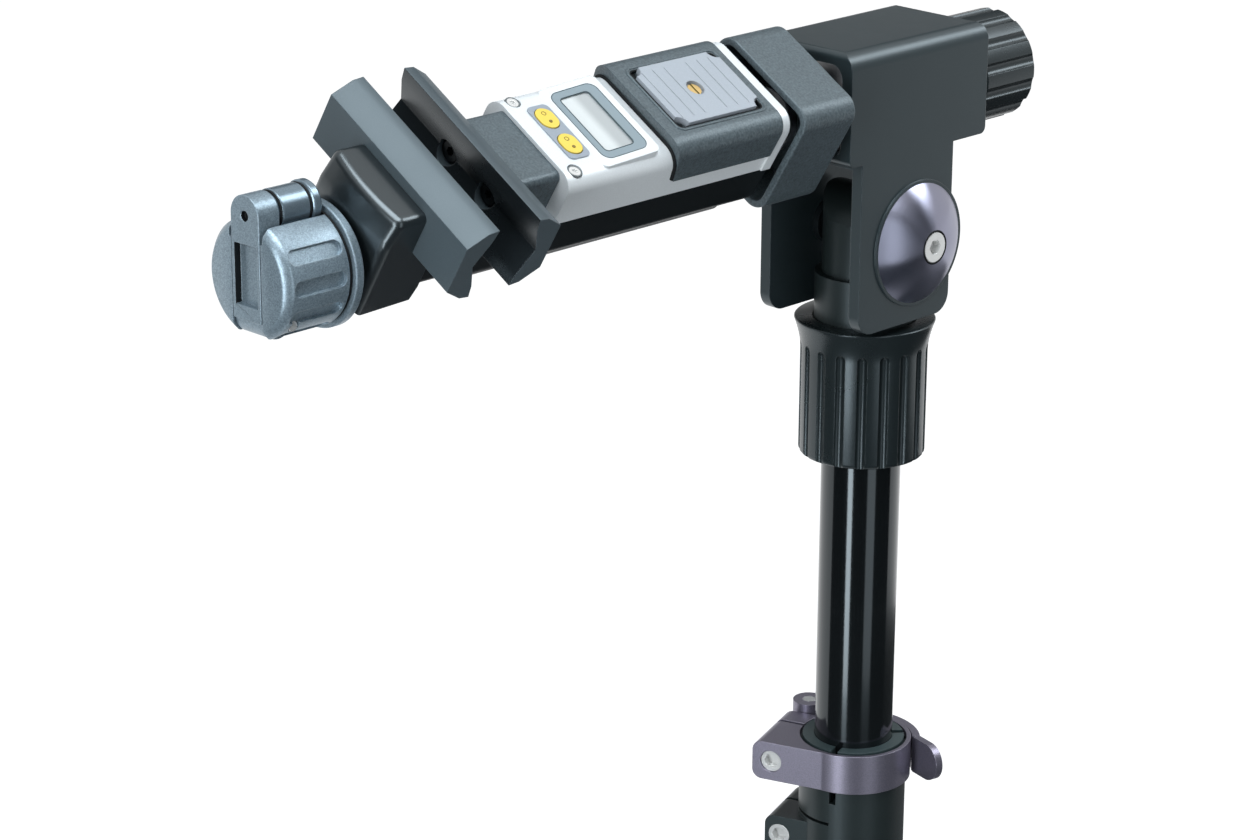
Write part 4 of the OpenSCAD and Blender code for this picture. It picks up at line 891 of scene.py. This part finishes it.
def notch_floors():
    """Discs of painted shade in the wells under the door's notched corners."""
    inset, floor, radius = 0.6, 27.6, 2.9
    shape = bmesh.new()
    for x in (-1, 1):
        for y in (-1, 1):
            centre = Vector((DOOR_MID + x * (DOOR_HALF - inset), y * (DOOR_SIDE - inset), floor))
            place = ARM @ Matrix.Translation(centre * MM)
            bmesh.ops.create_circle(shape, cap_ends=True, segments=32, radius=radius * MM, matrix=place)
    mesh = mesh_from("notch_floors", shape)
    dress(mesh, seam_shadow)
    trim(piece("notch_floors", mesh), "arm")


saddle()
battery_door()
notch_floors()
# The coin screw's slot is painted dark, as shade.
softened("coin_screw", 0.1, coin_brass, reshape=sunk_coin, ink=(mark_ink, coin_slot_shade))


# Fold lock collar: flutes that run up into its flare

COLLAR_FOOT, COLLAR_FLUTES = Matrix.Translation((0, 0, 0.916)), 18


def lock_collar():
    """Turned from (radius, height) pairs: foot, flare, and the seat inside it."""
    flare = [(27.7 + 2.95 * t**1.7, 48.0 + 13.1 * t) for t in (0, 0.15, 0.3, 0.45, 0.6, 0.75, 0.9, 1)]
    foot = [(17.8, 0), (25.7, 0), (26.9, 0.5), (27.5, 1.2), (27.7, 2.2)]
    seat = [(30.7, 61.5), (30.4, 61.85), (29.9, 62.0), (22.8, 62.0), (22.8, 51.0), (17.8, 51.0)]
    body = lathe("lock_collar_fluted", foot + flare + seat)
    flute = [(0, -2), (2.2, -2), (2.2, 49.2), (1.9, 50.3), (1.1, 51.1), (0, 51.4)]
    cut = lathe("collar_flute", flute, 28, centre=(28.25, 0))
    fluted(body, cut, COLLAR_FLUTES, first=0, step=360 / COLLAR_FLUTES, material=collar_plastic)
    placed(body, "lock_collar", COLLAR_FOOT, collar_plastic)


lock_collar()


# Display lines, on the raised panel, which slopes up from its jaw end

PANEL_RISE, PANEL_LENGTH = 2.4, 30
PANEL = (
    ARM
    @ Matrix.Translation(Vector((-190.0, 0, 23.5)) * MM)
    @ Matrix.Rotation(-math.atan(PANEL_RISE / PANEL_LENGTH), 4, "Y")
    @ Matrix.Translation(Vector((PANEL_LENGTH / 2, 0, 0)) * MM)
)
bead("bezel_line", "arm", round_loop(11.55, 19.05, 4.0, z=0.02), 0.16, line_ink, "bezel_grey", PANEL)
bead("window_line", "arm", round_loop(7.5, 15.5, 2.0, (-1, 0), 0.02), 0.22, line_ink, "bezel_grey", PANEL)


# Jaws: the clamping faces are painted darker than the rest, as shade


def jaw_face(side):
    return lambda centre, normal: normal.x * side > 0.3


softened("fixed_jaw", 0.6, jaw_pad, ink=(jaw_rubber, jaw_face(-1)))
softened("moving_jaw", 0.6, jaw_pad, ink=(jaw_rubber, jaw_face(1)))


# Carriage: its solid's block with a bowed outer face and a filled shelf under the jaw, but without the
# screw holes that break through its sloping end

CARRIAGE_HALF, CARRIAGE_BACK, CARRIAGE_OUTER = 21.5, -278.5, -290


def carriage_edges(shape):
    """The edges to round: those of both side faces, then those across the bowed outer face."""
    sides, across = [], []
    for edge in shape.edges:
        a, b = (vert.co for vert in edge.verts)
        at_back = min(a.x, b.x) > CARRIAGE_BACK - 0.1
        if a.y != b.y and max(a.x, b.x) < CARRIAGE_OUTER:
            across.append(edge)
        elif a.y == b.y in (-CARRIAGE_HALF, CARRIAGE_HALF):
            if max(a.x, b.x) < CARRIAGE_BACK + 0.5 and not at_back:
                sides.append(edge)
    return sides + across


def carriage():
    outline = [
        (CARRIAGE_BACK, 19.5), (-291.5, 19.5), (-294.5, 7.0), (-294.5, -27.5), (-268.0, -26.0),
        (-266.5, -19.5), (-266.5, -4.8), (-271.0, -4.8), (-271.0, 4.0), (CARRIAGE_BACK, 4.0),
    ]
    half, bow, bays = CARRIAGE_HALF, 2.6, 12
    shape = bmesh.new()
    rows = []
    for bay in range(bays + 1):
        y = half * (2 * bay / bays - 1)
        swell = bow * (1 - (y / half) ** 2)
        rows.append([shape.verts.new((x - swell if x < CARRIAGE_OUTER else x, y, z)) for x, z in outline])
    walls(shape, rows)
    shape.faces.new(rows[0])
    shape.faces.new(rows[-1])
    bmesh.ops.recalc_face_normals(shape, faces=shape.faces)
    edges = carriage_edges(shape)
    bmesh.ops.bevel(shape, geom=edges, offset=3.0, segments=6, profile=0.5, affect="EDGES")
    boss_z, boss = -17.1, ((-294.0, 14.0), (-297.8, 14.0), (-298.3, 13.5))
    rings = [[shape.verts.new(p) for p in ring_loop(radius, x, 0, boss_z)] for x, radius in boss]
    walls(shape, rings)
    shape.faces.new(rings[-1])
    bmesh.ops.recalc_face_normals(shape, faces=shape.faces)
    mesh = mesh_from("carriage_block", shape)
    mesh.transform(ARM @ Matrix.Scale(MM, 4))
    smooth(mesh)
    mesh.set_sharp_from_angle(angle=math.radians(35))
    obj = piece("carriage_block", mesh)
    even_shading(obj)
    baked(obj)
    dress(obj.data, carriage_gloss)
    stands_for(obj, "carriage")


carriage()


# Button marks, a ring and a dot, and painted shade in the scoops round the housing's corner screw heads

BUTTON_X, HOUSING_SCREW_X = -196.5, -204.0


def arm_points(mesh):
    return [in_arm(vert.co) for vert in mesh.vertices]


def middle_and_top(points):
    """Across the arm, the middle of some points, and the height of the highest."""
    across = [point.y for point in points]
    return (min(across) + max(across)) / 2, max(point.z for point in points)


for button in ("button_left", "button_right"):
    mid, top = middle_and_top(arm_points(bpy.data.objects[button + "_soft"].data))
    for mark, shift, reach, width in (("ring", 2.5, 0.95, 0.17), ("dot", -2.1, 0.4, 0.4)):
        loop = round_loop(reach, reach, reach, (BUTTON_X, mid + shift), top - 0.02, 5)
        bead(f"{button}_{mark}", NODE_BODY[button], loop, width, mark_ink, "button_yellow")

for side in ("near", "far"):
    heads = arm_points(frame["nodes"]["housing_screws"].data)
    mid, top = middle_and_top([point for point in heads if (point.y < 0) == (side == "near")])
    loop = round_loop(2.75, 2.75, 2.75, (HOUSING_SCREW_X, mid), top - 0.25)
    bead(f"screw_scoop_{side}", "arm", loop, 0.42, scoop_shade, "silver")


# Pivot bolt: a ring of painted shade in the gap round its head

PIVOT_FACE = Matrix.Translation((0, -0.0379, 1.0165)) @ Matrix.Rotation(math.radians(90), 4, "Z")
bead("pivot_gap", NODE_BODY["dome_caps"], ring_loop(7.05, 0, 0, 0), 0.5, seam_shadow, "anodised", PIVOT_FACE)


# Crank: the fluted knob, its folded arm and the grip

# In mm in the stand's frame: the axes of the lead screw and the grip, the knob's flange, and a plane just
# inside the crank arm's outer face
SCREW_Y, SCREW_Z = 8.807, 1062.342
GRIP_Z = SCREW_Z + 24.4
FLANGE_X, CRANK_FACE = -298.6, -334
# The pocket in the crank arm's face, from the screw's axis: in its solid, and as shown
SOLID_SIDE, SOLID_LOW, SOLID_HIGH = 5, -9, 13
POCKET_SIDE, POCKET_LOW, POCKET_HIGH, POCKET_FLOOR = 6.2, -10.0, 13.4, -332.3


def crank_knob():
    """Turned in a frame with the folded arm along X, its pin along Y and the knob's outer end along Z."""
    flange = [(0, 0), (23.8, 0), (24.8, 1.0), (24.8, 4.0), (24.4, 4.4), (22.2, 4.4), (22.2, 5.9), (22.9, 6.0)]
    barrel = [(23.2, 6.4), (23.2, 32.6), (22.9, 33.6), (20.7, 35.8), (19.8, 36.2), (0, 36.2)]
    body = lathe("crank_knob_fluted", flange + barrel)
    upright = Matrix(((0, 0, 1, 0), (0, 1, 0, 0), (1, 0, 0, 0), (0, 0, 0, 1)))
    flute = prism("knob_flute", round_loop(12.5, 3.0, 2.99, (20.0, 0)), 21.6, 27.0, upright)
    fluted(body, flute, count=9, first=60, step=30, material=crank_paint)
    pin = (-15.5, 0, 28.4)
    carved(
        body,
        block("arm_slot", (-15.5, -8.5, 26.0), (40, 8.5, 45)),
        block("grip_trough", (15.2, -9.5, 4.7), (40, 9.5, 45)),
        block("arm_sweep", (-40, -8.5, 20.0), (-15.4, 8.5, 45)),
        rod("knuckle_room", 8.4, 8.5, pin),
        rod("pin_hole", 2.3, 30, pin),
    )
    x, y, z = FLANGE_X * MM, SCREW_Y * MM, SCREW_Z * MM
    along = Matrix(((0, 0, -1, x), (0, 1, 0, y), (1, 0, 0, z), (0, 0, 0, 1)))
    placed(body, "crank_knob", along, crank_paint)


def deep_pocket(point):
    """Move the corners of the crank arm's pocket, so that it is wider and deeper than in its solid."""
    x, y, z = from_arm(point) / MM
    y, z = y - SCREW_Y, z - SCREW_Z
    low, high = abs(z - SOLID_LOW) < 0.05, abs(z - SOLID_HIGH) < 0.05
    if abs(abs(y) - SOLID_SIDE) > 0.05 or not (low or high):
        return point
    x = POCKET_FLOOR if x > CRANK_FACE else x
    y = math.copysign(POCKET_SIDE, y)
    z = POCKET_LOW if low else POCKET_HIGH
    return in_arm(Vector((x, y + SCREW_Y, z + SCREW_Z)) * MM)


def painted_shade_hollows(centre, normal):
    """Painted shade: the axle's hole, and the walls of the pocket that lie in its shade."""
    y, z = centre.y - SCREW_Y, centre.z - SCREW_Z
    inside = abs(normal.x) < 0.5 or (normal.x < -0.5 and centre.x > CRANK_FACE)
    hole = math.hypot(y, centre.z - GRIP_Z) < 2.15 and inside
    within = abs(y) < POCKET_SIDE + 0.2 and POCKET_LOW - 0.2 < z < POCKET_HIGH + 0.2
    pocket = within and centre.x < POCKET_FLOOR + 2.3
    return hole or (pocket and (normal.y < -0.5 or normal.z < -0.5))


def grip():
    profile = [
        (0, 0), (6.6, 0), (7.1, 0.5), (7.1, 1.2), (7.8, 1.3), (8.1, 1.7), (8.1, 14.0), (7.5, 14.3),
        (7.5, 15.3), (8.3, 15.6), (8.75, 16.1), (8.75, 18.7), (8.3, 19.4), (7.2, 20.0), (0, 20.0),
    ]
    foot = Matrix.Translation(Vector((-324.4, SCREW_Y, GRIP_Z)) * MM)
    along = foot @ Matrix.Rotation(math.radians(90), 4, "Y")
    placed(lathe("grip_turned", profile, 96), "grip", along, grip_paint)
    # Rings of painted shade in the gap at the grip's foot and in its groove.
    for name, x, radius in (("grip_gap", -323.6, 7.35), ("grip_groove", -309.6, 7.75)):
        loop = ring_loop(radius, x, SCREW_Y, GRIP_Z)
        bead(name, NODE_BODY["grip"], loop, 0.5, seam_shadow, "crank_grey", WORLD)


crank_knob()
# The crank arm's axle hole and pocket walls are painted dark, as shade.
softened("crank_arm", 0.5, crank_paint, reshape=deep_pocket, ink=(seam_shadow, painted_shade_hollows))
grip()
# A ring of painted shade in the groove between the knob and its flange.
knob_groove = ring_loop(22.3, -303.75, SCREW_Y, SCREW_Z)
bead("knob_seam", "crank", knob_groove, 0.6, seam_shadow, "crank_grey", WORLD)


# Studio


def white_for_looks(tree):
    """One for what the camera sees, straight on or in metal and glass, and nought for the light itself."""
    path = add(tree, "ShaderNodeLightPath").outputs
    seen = calc(tree, "MAXIMUM", path["Is Camera Ray"], path["Is Glossy Ray"])
    return calc(tree, "MAXIMUM", seen, path["Is Transmission Ray"])


def studio_floor():
    """A matt floor, white to the eye, and a little dimmer near the stand, where its shadow falls."""
    mesh = bpy.data.meshes.new("studio_floor")
    half, level = 30.0, -0.0005
    corners = [(-half, -half, level), (half, -half, level), (half, half, level), (-half, half, level)]
    mesh.from_pydata(corners, [], [(0, 1, 2, 3)])
    floor = piece("studio_floor", mesh)
    material = bpy.data.materials.new("pale_floor")
    tree = emptied(material)
    matt = feed(tree, add(tree, "ShaderNodeBsdfDiffuse"), Color=(0.42, 0.42, 0.42, 1))
    reach = add(tree, "ShaderNodeVectorMath", operation="LENGTH")
    tree.links.new(add(tree, "ShaderNodeTexCoord").outputs["Object"], reach.inputs[0])
    glow = eased(tree, reach.outputs["Value"], 0.6, 1.4, To_Min=0.55, To_Max=0.94)
    white = add(tree, "ShaderNodeEmission")
    feed(tree, white, Strength=calc(tree, "MULTIPLY", white_for_looks(tree), glow))
    both = add(tree, "ShaderNodeAddShader")
    tree.links.new(matt.outputs[0], both.inputs[0])
    tree.links.new(white.outputs[0], both.inputs[1])
    tree.links.new(both.outputs[0], add(tree, "ShaderNodeOutputMaterial").inputs["Surface"])
    mesh.materials.append(material)


def studio_world():
    world = bpy.data.worlds.new("studio_air")
    bpy.context.scene.world = world
    tree = emptied(world)
    dim = feed(tree, add(tree, "ShaderNodeBackground"), Color=(0.90, 0.96, 1.0, 1), Strength=0.20)
    white = add(tree, "ShaderNodeBackground")
    mix = add(tree, "ShaderNodeMixShader")
    tree.links.new(white_for_looks(tree), mix.inputs[0])
    tree.links.new(dim.outputs[0], mix.inputs[1])
    tree.links.new(white.outputs[0], mix.inputs[2])
    tree.links.new(mix.outputs[0], add(tree, "ShaderNodeOutputWorld").inputs["Surface"])


def dark_cloth(name, start, end, edge_a, edge_b):
    """A cloth for reflections alone, so that black faces stay black.

    It is swept round the mast, from start to end in degrees, between two (radius, height) edges in m."""
    steps = 24
    corners = []
    for i in range(steps + 1):
        turn = math.radians(start + (end - start) * i / steps)
        corners += [(r * math.cos(turn), r * math.sin(turn), z) for r, z in (edge_a, edge_b)]
    mesh = bpy.data.meshes.new(name)
    mesh.from_pydata(corners, [], [(i, i + 1, i + 3, i + 2) for i in range(0, 2 * steps, 2)])
    cloth = piece(name, mesh)
    cloth.visible_camera = False
    cloth.visible_shadow = False
    cloth.visible_diffuse = False
    material = bpy.data.materials.new(name)
    material.use_nodes = True
    shader = material.node_tree.nodes["Principled BSDF"]
    feed(material.node_tree, shader, Base_Color=(0.05, 0.055, 0.06, 1), Roughness=0.9)
    mesh.materials.append(material)


def softbox(name, place, target, width, height, watts):
    lamp = bpy.data.lights.new(name, "AREA")
    lamp.shape = "RECTANGLE"
    lamp.size = width
    lamp.size_y = height
    lamp.energy = watts
    lamp.color = (0.91, 0.965, 1.0)
    obj = bpy.data.objects.new(name, lamp)
    obj.location = place
    aim = Vector(target) - Vector(place)
    obj.rotation_euler = aim.to_track_quat("-Z", "Y").to_euler()
    obj.visible_camera = False
    bpy.context.scene.collection.objects.link(obj)


def photo_camera():
    """The viewpoint fitted to the photograph: turned, tilted and rolled round a point on the mast."""
    turn, tilt, roll = math.radians(-45.2137), math.radians(19.0818), math.radians(0.3324)
    back = Vector((math.sin(turn) * math.cos(tilt), -math.cos(turn) * math.cos(tilt), math.sin(tilt)))
    level = Vector((math.cos(turn), math.sin(turn), 0))
    rise = back.cross(level)
    right = level * math.cos(roll) + rise * math.sin(roll)
    up = rise * math.cos(roll) - level * math.sin(roll)
    place = Vector((0, 0, 0.78)) + back * 1.641997 - right * 0.100711 + up * 0.141544
    lens = bpy.data.cameras.new("photo_camera")
    lens.sensor_fit = "HORIZONTAL"
    lens.sensor_width = 36.0
    lens.lens = 103.965
    lens.clip_start = 0.05
    lens.clip_end = 100.0
    camera = bpy.data.objects.new("photo_camera", lens)
    camera.matrix_world = Matrix.Translation(place) @ Matrix((right, up, back)).transposed().to_4x4()
    bpy.context.scene.collection.objects.link(camera)
    bpy.context.scene.camera = camera


studio_floor()
studio_world()
dark_cloth("cloth_behind_camera", 138, 318, (2.1, 0.004), (2.1, 2.6))
dark_cloth("cloth_on_floor", 138, 385, (0.42, 0.004), (2.1, 0.004))
dark_cloth("cloth_behind_stand", 20, 75, (2.1, 1.45), (2.1, 2.5))
softbox("left_strip", (-1.80, -0.42, 1.0), (0, 0, 0.95), 0.46, 2.0, 26)
softbox("right_strip", (-0.50, -1.80, 1.0), (0, 0, 0.95), 0.8, 2.0, 8)
softbox("top_box", (-0.55, -0.45, 2.9), (-0.15, 0, 1.0), 1.3, 1.3, 39)
softbox("right_box", (1.3, -0.80, 2.45), (-0.1, 0, 1.0), 1.0, 1.0, 19)
photo_camera()

bpy.context.scene.view_settings.view_transform = "Standard"
